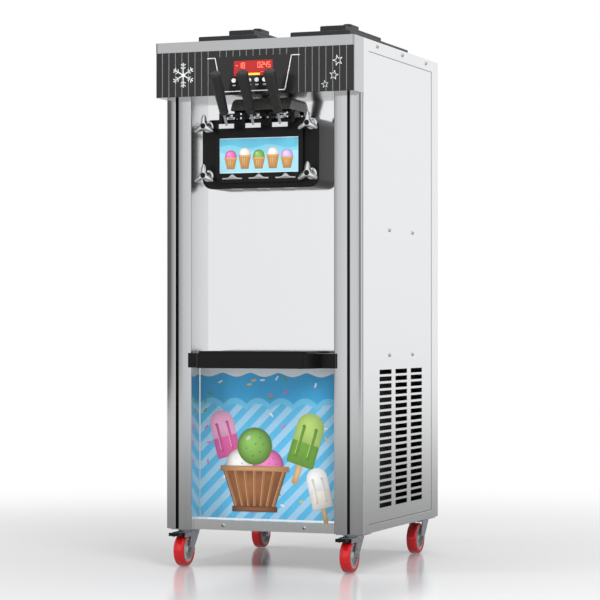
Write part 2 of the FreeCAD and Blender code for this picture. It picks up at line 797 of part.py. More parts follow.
head_cuts = [box((-channel_x, channel_x), (panel_y - channel_depth, panel_y + past),
                 (channel_z, channel_z + channel_h))]
duct_r = size("duct_radius", 9.0)
outer_ear_gap = size("outer_ear_gap", 25.2)
ear_end = pitch + outer_ear_gap
ear_x = [-ear_end, -pitch / 2, pitch / 2, ear_end]
pivot_ear_front = size("pivot_ear_front", 8.0)
pivot_ear_back = size("pivot_ear_back", 2.0)
ear_y = (pivot_y - pivot_ear_front, face - pivot_ear_back)
pivot_ear_root = size("pivot_ear_root", 14.0)
pivot_ear_rise = size("pivot_ear_rise", 7.0)
ear_z = (head_top - pivot_ear_root, pivot_z + pivot_ear_rise)
for x in ear_x:
    head.append(box((x - ear_t / 2, x + ear_t / 2), ear_y, ear_z))
    head_cuts.append(rod(pin_r, (x - ear_t, pivot_y, pivot_z), ear_t * 2, "x"))
lanes = [pitch * k for k in (-1, 0, 1)]
for x in lanes:
    head_cuts.append(rod(valve_r + run, (x, tip_y, head_z - past), head_h + past * 2))
    head_cuts.append(rod(nozzle_r, (x, tip_y, head_z - past), nozzle_t + past))
    head_cuts.append(rod(duct_r, (x, tip_y, channel_z + channel_h / 2), panel_y - tip_y, "y"))
barrel_mouth_step = size("barrel_mouth_step", 2.0)
mouth_r = barrel_r - barrel_mouth_step
mouth_d = size("barrel_mouth_depth", 5.0)
for s in (-1, 1):
    head_cuts.append(rod(mouth_r, (barrel_x * s, panel_y - mouth_d, barrel_z), mouth_d + past, "y"))
    for z in (stud_hi, stud_lo):
        head_cuts.append(rod(stud_r, (stud_x * s, head_y - past, z),
                             panel_y - head_y + past * 2, "y"))
node("dispensing_head", cut(fuse(*head), *head_cuts))
node("lever_pivot_pin", rod(pin_r, (ear_x[0] - ear_t / 2, pivot_y, pivot_z),
                            ear_x[3] - ear_x[0] + ear_t, "x"))

# Star nozzles under the valves
stars = []
point_l = nozzle_r * 1.3
point_w = nozzle_r * 0.36
for x in lanes:
    disc = rod(nozzle_r, (x, tip_y, head_z), nozzle_t)
    points = []
    for k in range(3):
        slot = doc.addObject("Part::Box", "point")
        bind(slot, "Length", point_l)
        bind(slot, "Width", point_w)
        bind(slot, "Height", nozzle_t + past * 2)
        a = math.radians(60 * k)
        turn(slot, (0, 0, 1), 60 * k)
        ca = round(math.cos(a), 6)
        sa = round(math.sin(a), 6)
        hl = point_l / 2
        hw = point_w / 2
        place(slot, x - hl * ca + hw * sa, tip_y - hl * sa - hw * ca, head_z - past)
        points.append(slot)
    stars.append(cut(disc, *points))
node("star_nozzles", apart(*stars))

# Plungers, levers and grips
rise = size("plunger_lug_height", 26.0)
lug_t = size("plunger_lug_thickness", 8.0)
lug_w = size("plunger_lug_width", 12.0)
window = size("plunger_window", 14.0)
plunger_drop = size("plunger_drop", 4.0)
stem_top = head_top - plunger_drop
foot_t = size("lever_foot_depth", 10.0)
lever_knee = size("lever_knee", 1.0)
knee_r = rod_r + lever_knee
rod_end = size("lever_rod_end", 14.0)
cap_h = size("grip_cap_height", 4.0)
grip_cap_taper = size("grip_cap_taper", 3.5)
cap_r = grip_tip - grip_cap_taper
top_y = face - grip_fwd
low_y = face - foot_y
slope = lean(grip_fwd - foot_y, grip_hi - foot_z)
run_y = (grip_fwd - foot_y) / (grip_hi - foot_z)
full = root((grip_fwd - foot_y) * (grip_fwd - foot_y) + (grip_hi - foot_z) * (grip_hi - foot_z))
span = full / (grip_hi - foot_z)
names = ("left", "middle", "right")
for name, x in zip(names, lanes):
    stem = rod(valve_r, (x, tip_y, valve_end), stem_top - valve_end)
    lug = box((x - lug_w / 2, x + lug_w / 2), (tip_y - lug_t / 2, tip_y + lug_t / 2),
              (stem_top - bite, stem_top - bite + rise))
    hole = box((x - arm_r - fit, x + arm_r + fit), (tip_y - lug_t, tip_y + lug_t),
               (pivot_z - window / 2, pivot_z + window / 2))
    node(name + "_plunger", cut(fuse(stem, lug), hole))
    arm_start = face - foot_y - run_y * (pivot_z - foot_z)
    arm = rod(arm_r, (x, arm_start, pivot_z), pivot_y + arm_back - arm_start, "y")
    end = ball(arm_r, (x, pivot_y + arm_back, pivot_z))
    hub = rod(hub_r, (x - hub_w / 2, pivot_y, pivot_z), hub_w, "x")
    bar = rod(rod_r, (x, low_y, foot_z), full - rod_end, slope)
    knee = ball(knee_r, (x, arm_start, pivot_z))
    foot = box((x - foot_w / 2, x + foot_w / 2), (low_y - foot_t / 2, low_y + foot_t / 2),
               (foot_z - foot_h / 2, foot_z + foot_h / 2))
    pin_hole = rod(pin_r + run, (x - hub_w, pivot_y, pivot_z), hub_w * 2, "x")
    node(name + "_lever", cut(fuse(arm, end, hub, bar, knee, foot), pin_hole))
    g_start = (x, low_y - run_y * (grip_lo - foot_z), grip_lo)
    g_len = (grip_hi - grip_lo) * span
    cone = rod(grip_r, g_start, g_len, slope, grip_tip)
    cap_at = (x, top_y, grip_hi)
    cap = rod(grip_tip, cap_at, cap_h, slope, cap_r)
    sleeve = rod(rod_r, (x, low_y, foot_z), full - rod_end, slope)
    joint = ball(knee_r, (x, arm_start, pivot_z))
    node(name + "_grip", cut(fuse(cone, cap), sleeve, joint))

# Hand screws with three arms on the studs
screw_r = size("hand_screw_hub", 11.0)
wing_r = size("hand_screw_arm", 4.6)
wing_l = size("hand_screw_reach", 23.0)
wing_y = size("hand_screw_arm_setback", 6.0)
hand_screw_arm_end = size("hand_screw_arm_end", 0.9)
wing_tip = wing_r + hand_screw_arm_end
hand_screw_flange = size("hand_screw_flange", 3.0)
flare_r = screw_r + hand_screw_flange
flare_t = size("hand_screw_flange_thickness", 5.0)
wings = 3
for side_name, s in (("left", -1), ("right", 1)):
    for level, z in (("upper", stud_hi), ("lower", stud_lo)):
        x = stud_x * s
        tail = head_y - knob_back
        body = [rod(screw_r, (x, tail, z), knob_back - fit, "y")]
        body.append(rod(flare_r, (x, head_y - fit - flare_t, z), flare_t, "y"))
        for k in range(wings):
            way = 360 / wings * k + 90
            a = math.radians(way)
            ca = round(math.cos(a), 6)
            sa = round(math.sin(a), 6)
            wing = doc.addObject("Part::Cylinder", "wing")
            bind(wing, "Radius", wing_r)
            bind(wing, "Height", wing_l)
            turn(wing, (0, 1, 0), 90 - way)
            place(wing, x, tail + wing_y, z)
            body.append(wing)
            body.append(ball(wing_tip, (x + wing_l * ca, tail + wing_y, z + wing_l * sa)))
        hole = rod(stud_r + run, (x, tail - past, z), knob_back + past * 2, "y")
        node("%s_%s_hand_screw" % (level, side_name), cut(fuse(*body), hole))

# Switch hood over the plungers
hood_w = size("hood_width", 156.0)
hood_lo = size("hood_bottom", 1125.0)
hood_hi = size("hood_top", 1154.0)
hood_out = size("hood_front", 10.0)
hood_lean = size("hood_lean", 16.0)
hood_t = size("hood_wall", 2.0)
hood_roof = size("hood_roof", 10.5)
hood_brow = size("hood_brow", 2.6)
hood_side = size("hood_side_wall", 1.3)
hd = prism("YZ_Plane", [[(-hood_out, hood_lo), (recess, hood_lo), (recess, hood_hi),
                         (hood_lean - hood_out, hood_hi)]], hood_w,
           (-hood_w / 2, face, 0))
ht = val(hood_hi)
hw_x = val(hood_w)
hood_corner = size("hood_corner", 10.0)
round_edges(hd, hood_corner,
            lambda m, d: abs(m.z - ht) < 0.1 and (m.x < 0.1 or m.x > hw_x - 0.1))
hollow = prism("YZ_Plane", [[(hood_brow - hood_out, hood_lo - bite),
                             (recess - hood_t, hood_lo - bite),
                             (recess - hood_t, hood_hi - hood_roof),
                             (hood_lean - hood_out + hood_t, hood_hi - hood_roof)]],
               hood_w - hood_side * 2, (hood_side - hood_w / 2, face, 0))
node("switch_hood", cut(hd, hollow))

# Drip tray and its grid
bw = bulge_w / 2
br = bulge_root / 2
tw = tray_w / 2
pw = post_in - fit
depth_in = recess - fit
tray = prism("XY_Plane", [[(-pw, depth_in), (-pw, -fit), (-tw, -fit), (-tw, -tray_lip),
                           (-br, -tray_lip), (-bw, -tray_out), (bw, -tray_out),
                           (br, -tray_lip), (tw, -tray_lip), (tw, -fit), (pw, -fit),
                           (pw, depth_in)]], tray_h, (0, face, tray_z))
t_out = -val(tray_out)
tray_corner = size("tray_corner", 16.0)
round_edges(tray, tray_corner,
            lambda m, d: abs(m.y - t_out) < 0.1 and abs(d.z) > 0.9)
sump_side_margin = size("sump_side_margin", 6.0)
sump_x = bw - tray_t - sump_side_margin
sump_front_margin = size("sump_front_margin", 8.0)
sump_back_margin = size("sump_back_margin", 2.0)
sump_y = (face - tray_out + tray_t + sump_front_margin,
          face + grid_back - sump_back_margin)
node("drip_tray", cut(tray, box((-sump_x, sump_x), sump_y, (tray_z + tray_t, tray_top + past))))
grid_corner = size("grid_corner", 12.0)
# The grid is two end rails with slats set between them
rail_w = size("grid_rail_width", 14.0)
grid_setback = size("grid_setback", 8.0)
grid_front = grid_setback - tray_out
rails = []
for low, high in ((grid_front, grid_front + rail_w), (grid_back - rail_w, grid_back)):
    rail = prism("XY_Plane", [tile((-bw, bw), (low, high))], grid_t, (0, face, tray_top))
    rails.append(rail)
g_front = val(grid_front)
g_back = val(grid_back)
round_edges(rails[0], grid_corner, lambda m, d: abs(m.y - g_front) < 0.1 and abs(d.z) > 0.9)
round_edges(rails[1], grid_corner, lambda m, d: abs(m.y - g_back) < 0.1 and abs(d.z) > 0.9)
slots = 16
first = -slot_step * (slots - 1) / 2
slats = []
for i in range(slots + 1):
    left = -bw if i == 0 else first + slot_step * (i - 1) + slot_w / 2
    right = bw if i == slots else first + slot_step * i - slot_w / 2
    slats.append(box((left, right), (face + grid_front + rail_w, face + grid_back - rail_w),
                     (tray_top, tray_top + grid_t)))
node("drip_grid", apart(*rails, *slats))

# Casters: plate, swivel fork with its axle, wheel and brake pedal
plates = []
axle_z = wheel_r
crown_z = ground - plate_th - fit - race_t
fork_clearance = size("fork_clearance", 2.0)
leg_x = wheel_w / 2 + fork_clearance
leg_foot = size("fork_foot", 10.0)
leg_top = size("fork_shoulder", 24.0)
fork_drop = size("fork_drop", 9.0)
leg_z = axle_z - fork_drop
bridge_y = size("fork_bridge", 18.0)
nut_r = size("axle_nut_radius", 6.5)
nut_t = size("axle_nut_thickness", 5.0)
pad_x = size("caster_plate_half_width", 34.0)
pad_y = size("caster_plate_half_depth", 32.0)
king_end = size("king_pin_end", 3.0)
core_in = size("wheel_core_inset", 1.5)
pedal_dy = size("pedal_pivot_forward", 25.0)
pedal_z = size("pedal_pivot_height", 80.0)
pedal_l = size("pedal_length", 40.0)
pedal_side_gap = size("pedal_side_gap", 2.5)
pedal_x = leg_x - pedal_side_gap
pedal_t = size("pedal_thickness", 5.0)
pedal_tread_drop = size("pedal_tread_drop", 1.0)
pedal_low = pedal_z - pedal_tread_drop
pedal_pin = size("pedal_pin_radius", 2.5)
pedal_hub = size("pedal_hub_radius", 4.6)
toe_d = size("pedal_toe_depth", 7.0)
toe_h = size("pedal_toe_height", 8.0)
lug_r = size("pedal_lug", 6.0)
lug_back = size("pedal_lug_back", 20.0)
for front in (True, False):
    for side_name, s in (("left", -1), ("right", 1)):
        cx = caster_x * s
        cy = face + (caster_front if front else caster_rear)
        ay = cy - trail
        name = ("front_" if front else "rear_") + side_name
        plates.append(fuse(box((cx - pad_x, cx + pad_x), (cy - pad_y, cy + pad_y),
                               (ground - plate_th, ground)),
                           rod(king_r, (cx, cy, crown_z - king_end),
                               ground - crown_z + king_end - bite)))
        parts = [rod(race_r, (cx, cy, crown_z), race_t)]
        for e in (-1, 1):
            lx = (cx + leg_x, cx + leg_x + leg_t) if e > 0 else (cx - leg_x - leg_t, cx - leg_x)
            leg = prism("YZ_Plane", [[(-trail - leg_foot, leg_z), (leg_foot - trail, leg_z),
                                      (leg_top, crown_z), (leg_top, crown_z + race_t),
                                      (-leg_top, crown_z + race_t), (-leg_top, crown_z)]],
                        leg_t, (lx[0], cy, 0))
            parts.append(leg)
            if front:
                parts.append(box(lx, (ay - pedal_dy - lug_r, cy - lug_back),
                                 (pedal_z - lug_r, pedal_z + lug_r)))
            cheek_x = leg_x + leg_t - bite / 2
            nut = cx + cheek_x if e > 0 else cx - cheek_x - nut_t
            parts.append(rod(nut_r, (nut, ay, axle_z), nut_t, "x"))
        parts.append(box((cx - leg_x - leg_t, cx + leg_x + leg_t), (cy - bridge_y, cy + bridge_y),
                         (crown_z, crown_z + race_t)))
        axle_l = (leg_x + bite) * 2
        parts.append(rod(axle_r, (cx - leg_x - bite, ay, axle_z), axle_l, "x"))
        if front:
            parts.append(rod(pedal_pin, (cx - leg_x - bite, ay - pedal_dy, pedal_z), axle_l, "x"))
        hole = rod(king_r + run, (cx, cy, crown_z - past), race_t + past * 2)
        node(name + "_fork", cut(fuse(*parts), hole))
        tyre = prism("YZ_Plane", [], wheel_w, (cx - wheel_w / 2, ay, axle_z),
                     rings=[(0, 0, wheel_r), (0, 0, hub_core)])
        rr = val(wheel_r)
        round_edges(tyre, tyre_edge,
                    lambda m, d: math.hypot(m.y, m.z) > rr - 0.1)
        core = prism("YZ_Plane", [], wheel_w - core_in * 2, (cx - wheel_w / 2 + core_in, ay, axle_z),
                     rings=[(0, 0, hub_core), (0, 0, axle_r + run)])
        node(name + "_wheel", apart(tyre, core))
        if front:
            py = ay - pedal_dy
            px = (cx - pedal_x, cx + pedal_x)
            lever = fuse(rod(pedal_hub, (cx - leg_x + fit, py, pedal_z), (leg_x - fit) * 2, "x"),
                         box(px, (py - pedal_l, py), (pedal_low, pedal_low + pedal_t)),
                         box(px, (py - pedal_l, py - pedal_l + toe_d), (pedal_low, pedal_low + toe_h)))
            node(name + "_brake", cut(lever, rod(pedal_pin + run, (cx - leg_x - past, py, pedal_z),
                                                 (leg_x + past) * 2, "x")))
node("caster_plates", apart(*plates))

# Refrigeration: compressor, finned condenser with its fan motor, and the fan
compressor_offset = size("compressor_offset", 100.0)
comp_x = -compressor_offset
compressor_setback = size("compressor_setback", 430.0)
comp_y = face + compressor_setback
compressor_lift = size("compressor_lift", 12.0)
comp_z = floor_z + compressor_lift
base_w = size("compressor_foot_width", 170.0)
base_d = size("compressor_foot_depth", 70.0)
compressor_dome = size("compressor_dome", 30.0)
compressor_dome_radius = size("compressor_dome_radius", 46.75)
compressor_foot = size("compressor_foot", 14.0)
node("compressor", fuse(
    rod(comp_r, (comp_x, comp_y, comp_z), comp_h),
    rod(comp_r, (comp_x, comp_y, comp_z + comp_h), compressor_dome, "z",
        compressor_dome_radius),
    box((comp_x - base_w / 2, comp_x + base_w / 2), (comp_y - base_d / 2, comp_y + base_d / 2),
        (floor_z, floor_z + compressor_foot))))
cz = (floor_z, floor_z + coil_h)
cy0 = face + coil_y
fan_y = cy0 + coil_d / 2
fan_z = floor_z + coil_h / 2
bar_t = size("fan_bar", 8.0)
bar_h = size("fan_bar_height", 18.0)
fan_bar_reach = size("fan_bar_reach", 80.0)
bar_x = coil_x - fan_bar_reach
bar_z = (fan_z - bar_h / 2, fan_z + bar_h / 2)
motor_x = bar_x + bar_t - bite
fan_motor_l = size("fan_motor_length", 24.0)
shaft_x = motor_x + fan_motor_l - bite
fan_shaft_r = size("fan_shaft_radius", 5.0)
fan_motor_radius = size("fan_motor_radius", 32.0)
fan_shaft = size("fan_shaft", 28.0)
node("condenser", fuse(
    box((coil_x, coil_x + coil_t), (cy0, cy0 + coil_d), cz),
    box((bar_x, coil_x + bite), (cy0, cy0 + bar_t), bar_z),
    box((bar_x, coil_x + bite), (cy0 + coil_d - bar_t, cy0 + coil_d), bar_z),
    box((bar_x, bar_x + bar_t), (cy0, cy0 + coil_d), bar_z),
    rod(fan_motor_radius, (motor_x, fan_y, fan_z), fan_motor_l, "x"),
    rod(fan_shaft_r, (shaft_x, fan_y, fan_z), fan_shaft, "x")))
fan_hub_gap = size("fan_hub_gap", 2.0)
hub_x = motor_x + fan_motor_l + fan_hub_gap
hub_l = size("fan_hub_length", 26.0)
blade_chord = size("blade_chord", 46.0)
blade_t = size("blade_thickness", 2.5)
blade_root = size("blade_root", 8.0)
blade_tilt = 62
fan_hub_radius = size("fan_hub_radius", 20.0)
blades = [rod(fan_hub_radius, (hub_x, fan_y, fan_z), hub_l, "x")]
for k in range(4):
    b = doc.addObject("Part::Box", "blade")
    bind(b, "Length", blade_chord)
    bind(b, "Width", blade_t)
    bind(b, "Height", fan_r - blade_root)
    tilt = FreeCAD.Rotation(FreeCAD.Vector(0, 0, 1), blade_tilt)
    spin = FreeCAD.Rotation(FreeCAD.Vector(1, 0, 0), 90 * k)
    turned = spin.multiply(tilt)
    off = turned.multVec(FreeCAD.Vector(-val(blade_chord) / 2, -val(blade_t) / 2, val(blade_root)))
    b.Placement = FreeCAD.Placement(FreeCAD.Vector(), turned)
    place(b, hub_x + hub_l / 2 + off.x, fan_y + off.y, fan_z + off.z)
    blades.append(b)
node("condenser_fan", cut(fuse(*blades), rod(fan_shaft_r + run, (hub_x - past, fan_y, fan_z),
                                             hub_l + past * 2, "x")))

# Panel screws: a row under the top edge, two pairs lower down and a pair on the sill
heads = []
head_r = size("screw_head_radius", 5.0)
head_h = size("screw_head_height", 3.0)
top_screw_row = size("top_screw_row", 1188.0)
top_row = ground + top_screw_row
middle_screw_row = size("middle_screw_row", 742.0)
mid_row = ground + middle_screw_row
low_screw_row = size("low_screw_row", 431.0)
low_row = ground + low_screw_row
top_screw_front = size("top_screw_front", 115.0)
top_screw_middle = size("top_screw_middle", 308.0)
top_screw_back = size("top_screw_back", 499.0)
spots = [(top_screw_front, top_row, 0), (top_screw_middle, top_row, 0),
         (top_screw_back, top_row, 0)]
pair_screw_front = size("pair_screw_front", 209.0)
pair_screw_back = size("pair_screw_back", 390.0)
pair_a, pair_b = pair_screw_front, pair_screw_back
for z in (mid_row, low_row):
    spots += [(pair_a, z, emboss), (pair_b, z, emboss)]
sill_screw_x = size("sill_screw_offset", 107.0)
sill_screw_rise = size("sill_screw_rise", 11.0)
sill_screw_z = ground + sill_screw_rise
for s in (-1, 1):
    for y, z, sunk in spots:
        x0 = inner + sheet_t - sunk
        px = x0 if s > 0 else -x0 - head_h
        heads.append(rod(head_r, (px, face + y, z), head_h, "x"))
    heads.append(rod(head_r, (sill_screw_x * s, sill_y - head_h, sill_screw_z), head_h, "y"))
node("panel_screws", apart(*heads))

doc.recompute()
problems = []
for obj in doc.Objects:
    if "Invalid" in obj.State or "Error" in obj.State:
        problems.append("%s (%s) %s" % (obj.Name, obj.Label, obj.State))
for obj in nodes:
    if obj.Shape.isNull() or not obj.Shape.isValid() or not obj.Shape.Solids:
        problems.append("bad shape " + obj.Label)
if problems:
    raise RuntimeError("; ".join(problems))
os.makedirs("parts", exist_ok=True)
for obj in nodes:
    obj.Shape.exportStep("parts/%s.step" % obj.Label)
total = Part.makeCompound([obj.Shape for obj in nodes]).BoundBox
print(len(nodes), "nodes", total)
for obj in nodes:
    b = obj.Shape.BoundBox
    print(obj.Label, len(obj.Shape.Solids), round(obj.Shape.Volume / 1000, 1),
          [round(v, 1) for v in (b.XMin, b.XMax, b.YMin, b.YMax, b.ZMin, b.ZMax)])
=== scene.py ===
"""Dresses the soft-serve machine: finishes, printed panels, wheels, grips, floor and light."""
import json
import math

import bmesh
import bpy
import numpy as np
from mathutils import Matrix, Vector


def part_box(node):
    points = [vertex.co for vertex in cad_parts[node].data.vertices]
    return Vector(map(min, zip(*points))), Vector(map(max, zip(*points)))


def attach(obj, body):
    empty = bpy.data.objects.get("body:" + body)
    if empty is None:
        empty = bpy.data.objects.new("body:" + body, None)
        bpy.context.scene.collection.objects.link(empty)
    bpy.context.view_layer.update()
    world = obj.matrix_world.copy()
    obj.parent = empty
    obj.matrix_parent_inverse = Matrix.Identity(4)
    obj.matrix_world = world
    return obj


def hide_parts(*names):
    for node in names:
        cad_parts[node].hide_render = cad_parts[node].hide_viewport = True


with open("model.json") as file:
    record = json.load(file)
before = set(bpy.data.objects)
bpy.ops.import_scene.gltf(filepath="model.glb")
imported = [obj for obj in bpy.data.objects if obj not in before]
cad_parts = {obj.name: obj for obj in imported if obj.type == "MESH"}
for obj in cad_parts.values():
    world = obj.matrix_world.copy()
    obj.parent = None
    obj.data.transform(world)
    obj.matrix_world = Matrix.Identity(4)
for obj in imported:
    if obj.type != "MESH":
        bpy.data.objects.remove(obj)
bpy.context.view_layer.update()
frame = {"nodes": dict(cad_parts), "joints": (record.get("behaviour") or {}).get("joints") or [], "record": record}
nodes = frame["nodes"]
scene = bpy.context.scene


def corners(node):
    """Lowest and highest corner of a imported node, to the micrometre."""
    return np.round(np.array(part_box(node), float), 6)


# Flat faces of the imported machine, in metres
POST_LOW, POST_HIGH = corners("right_post")
FACE = POST_LOW[1]
PANEL = corners("upper_front_panel")[0][1]
FASCIA = corners("control_fascia")[0][1]
DISPLAY = corners("display_window")[0][1]
SILL = corners("lower_front_panel")[0][1]
BACK = corners("rear_panel")[1][1]
SIDE = corners("right_side_panel")[1][0]
COIL_LOW, COIL_HIGH = corners("condenser")
# Sunk field of a side panel, and the face of the head that carries its picture
FIELD = SIDE - 0.0008
PICTURE = FACE - 0.018
# Points about which the turning bodies turn
PIVOTS = {joint["child"]: np.array(joint["pos_m"]) for joint in frame["joints"] if "pos_m" in joint}
# Middles of the levers and the spouts
LANES = [(name, PIVOTS[name + "_lever"][0]) for name in ("left", "middle", "right")]
# Body that every fixed piece rides on
CABINET = "cabinet"
# Share of the drawn spacing of the inks that is kept on the part
INK = 0.22


# Meshes from whole arrays
def put(name, verts, quads, tints=None, smooth=True):
    """Mesh from an (n, 3) array of points and an (m, 4) array of quad corners."""
    mesh = bpy.data.meshes.new(name)
    mesh.vertices.add(len(verts))
    mesh.vertices.foreach_set("co", np.asarray(verts, np.float32).ravel())
    mesh.loops.add(quads.size)
    mesh.loops.foreach_set("vertex_index", quads.astype(np.int32).ravel())
    mesh.polygons.add(len(quads))
    mesh.polygons.foreach_set("loop_start", np.arange(0, quads.size, 4, dtype=np.int32))
    mesh.polygons.foreach_set("use_smooth", np.full(len(quads), smooth))
    mesh.update(calc_edges=True)
    mesh.validate()
    if tints is not None:
        layer = mesh.color_attributes.new("tint", "FLOAT_COLOR", "POINT")
        rgba = np.ones((len(verts), 4), np.float32)
        rgba[:, :3] = tints
        layer.data.foreach_set("color", rgba.ravel())
    ob = bpy.data.objects.new(name, mesh)
    scene.collection.objects.link(ob)
    return ob


def weld(ob):
    """Closes seams and poles by joining points that share a place, and keeps folds sharp."""
    same_place, sliver, fold = 1e-6, 1e-7, math.radians(35)
    bm = bmesh.new()
    bm.from_mesh(ob.data)
    bmesh.ops.remove_doubles(bm, verts=bm.verts[:], dist=same_place)
    bmesh.ops.dissolve_degenerate(bm, edges=bm.edges[:], dist=sliver)
    bm.to_mesh(ob.data)
    bm.free()
    ob.data.set_sharp_from_angle(angle=fold)
    return ob


def dress(ob, slot, *looks, body=CABINET, instead=None):
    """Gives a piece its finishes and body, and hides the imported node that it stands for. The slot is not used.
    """
    for look in looks:
        ob.data.materials.append(look)
    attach(ob, body)
    if instead:
        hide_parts(instead)


def lattice(nu, nv, loop_u=False):
    """Quad corners of a nu by nv grid of points, closed along u if asked."""
    rows = np.arange(nu if loop_u else nu - 1)
    here, step = np.meshgrid(rows * nv, np.arange(nv - 1), indexing="ij")
    there = (here + nv) % (nu * nv)
    quads = np.stack([here + step, there + step, there + step + 1, here + step + 1], -1)
    return quads.reshape(-1, 4)


def strips(name, runs, looks):
    """Joins point grids, each with its own edge points so that folds stay sharp."""
    verts, quads, index, count = [], [], [], 0
    for pts, look in zip(runs, looks):
        nu, nv = pts.shape[:2]
        verts.append(pts.reshape(-1, 3))
        quads.append(lattice(nu, nv) + count)
        index.append(np.full(len(quads[-1]), look))
        count += nu * nv
    ob = put(name, np.concatenate(verts), np.concatenate(quads))
    ob.data.polygons.foreach_set("material_index", np.concatenate(index).astype(np.int32))
    return weld(ob)


def spun(name, profile, start, axis, steps):
    """Surface of revolution: profile (r, h) carried round the axis line from start."""
    r, h = np.asarray(profile, float).T
    w = np.asarray(axis, float) / np.linalg.norm(axis)
    u = np.cross(w, (1.0, 0, 0) if abs(w[0]) < 0.9 else (0, 1.0, 0))
    u /= np.linalg.norm(u)
    v = np.cross(w, u)
    a = np.linspace(0, 2 * np.pi, steps, endpoint=False)
    ring = np.cos(a)[:, None] * u + np.sin(a)[:, None] * v
    pts = (np.asarray(start, float) + ring[:, None, :] * r[None, :, None]
           + h[None, :, None] * w)
    return weld(put(name, pts.reshape(-1, 3), lattice(steps, len(r), loop_u=True)))


def arc(mid_r, mid_h, radius, first, last):
    """Points of a circular arc in profile coordinates, angles in degrees."""
    a = np.radians(np.linspace(first, last, 9))
    return list(zip(mid_r + radius * np.cos(a), mid_h + radius * np.sin(a)))


# Flat artwork
class Print:
    """Coloured patches on a plane that faces -y, each ink a little proud of the last."""

    def __init__(self, plane, first):
        """Empty print on a plane, with the gap of its first ink as drawn."""
        self.plane, self.first = plane, first
        self.verts, self.quads, self.tints, self.count = [], [], [], 0

    def add(self, xz, quads, rise, tint):
        """Patch from flat points: it lies the first gap and its rise off the plane, times INK."""
        proud = self.plane - (self.first + rise) * INK
        self.verts.append(np.stack([xz[:, 0], np.full(len(xz), proud), xz[:, 1]], -1))
        self.quads.append(quads + self.count)
        self.tints.append(np.broadcast_to(np.asarray(tint, float), (len(xz), 3)))
        self.count += len(xz)

    def fill(self, ring, rise, tint, middle=None, heart=None):
        """Star-shaped patch: middle + t (ring - middle), t from 0 to 1, heart to tint."""
        ring = np.asarray(ring, float)
        mid = ring.mean(0) if middle is None else np.asarray(middle, float)
        t = np.linspace(0, 1, 3 if heart is None else 9)
        pts = mid + t[None, :, None] * (ring[:, None, :] - mid)
        edge = np.asarray(tint, float)
        inmost = edge if heart is None else np.asarray(heart, float)
        hue = inmost + (t ** 1.6)[None, :, None] * (edge - inmost)
        hue = np.broadcast_to(hue, (len(ring), len(t), 3)).reshape(-1, 3)
        self.add(pts.reshape(-1, 2), lattice(len(ring), len(t), loop_u=True), rise, hue)

    def line(self, path, width, rise, tint, closed=False):
        """Ribbon of even width: path plus and minus half the width along its normal."""
        p = np.asarray(path, float)
        if closed:
            d = np.roll(p, -1, 0) - np.roll(p, 1, 0)
        else:
            d = np.gradient(p, axis=0)
        d /= np.linalg.norm(d, axis=1)[:, None] + 1e-12
        n = np.stack([d[:, 1], -d[:, 0]], -1) * width / 2
        pts = np.stack([p + n, p - n], 1)
        self.add(pts.reshape(-1, 2), lattice(len(p), 2, loop_u=closed), rise, tint)

    def between(self, x, upper, lower, rise, tint):
        """Band between two curves over the same x."""
        pts = np.stack([np.stack([x, upper], -1), np.stack([x, lower], -1)], 1)
        self.add(pts.reshape(-1, 2), lattice(len(x), 2), rise, tint)

    def done(self, name, look, slot):
        """The patches as one piece on the cabinet."""
        ob = put(name, np.concatenate(self.verts), np.concatenate(self.quads),
                 np.concatenate(self.tints), smooth=False)
        face_front(ob)
        dress(weld(ob), slot, look)


def face_front(ob):
    """Turns every flat patch so that its face looks to -y."""
    mesh = ob.data
    normals = np.empty(len(mesh.polygons) * 3, np.float32)
    mesh.polygons.foreach_get("normal", normals)
    wrong = np.nonzero(normals.reshape(-1, 3)[:, 1] > 0)[0]
    if len(wrong):
        quads = np.empty(len(mesh.loops), np.int32)
        mesh.loops.foreach_get("vertex_index", quads)
        quads = quads.reshape(-1, 4)
        quads[wrong] = quads[wrong, ::-1]
        mesh.loops.foreach_set("vertex_index", quads.ravel())
        mesh.update(calc_edges=True)


def turned(x, z, u, v, angle):
    """Points (u, v) turned by an angle in their plane and moved to (x, z)."""
    c, s = np.cos(angle), np.sin(angle)
    return np.stack([x + u * c - v * s, z + u * s + v * c], -1)


def disc(x, z, r, n=40, squash=1.0, turn=0.0):
    """Points of an ellipse of radii r and r times squash, turned in its plane."""
    a = np.linspace(0, 2 * np.pi, n, endpoint=False)
    return turned(x, z, r * np.cos(a), r * squash * np.sin(a), turn)


def star(x, z, r, turn):
    """Star outline: the radius goes between r and inner times r at each half step."""
    inner, points = 0.42, 5
    a = np.arange(points * 2) * np.pi / points + np.pi / 2 + turn
    q = np.where(np.arange(points * 2) % 2 == 0, r, r * inner)
    return np.stack([x + q * np.cos(a), z + q * np.sin(a)], -1)


def slab(x0, x1, z0, z1):
    """Corners of an upright rectangle."""
    return np.array([(x0, z0), (x1, z0), (x1, z1), (x0, z1)], float)


def pill(x, z, wide, tall, arch, turn, low):
    """Rounded bar outline: an arch on top and an arc of radius low at each lower corner."""
    a = np.linspace(0, np.pi, 14)
    top = np.stack([wide / 2 * np.cos(a), tall / 2 - arch + arch * np.sin(a)], -1)
    a = np.linspace(np.pi, 1.5 * np.pi, 6)
    left = np.stack([low - wide / 2 + low * np.cos(a), low - tall / 2 + low * np.sin(a)], -1)
    a = np.linspace(1.5 * np.pi, 2 * np.pi, 6)
    right = np.stack([wide / 2 - low + low * np.cos(a), low - tall / 2 + low * np.sin(a)], -1)
    u, v = np.concatenate([top, left, right]).T
    return turned(x, z, u, v, turn)


def lit(hue, gain, lift=0.0):
    """Brighter hue: hue times gain plus lift, kept under white."""
    return np.minimum(hue * gain + lift, 0.95)


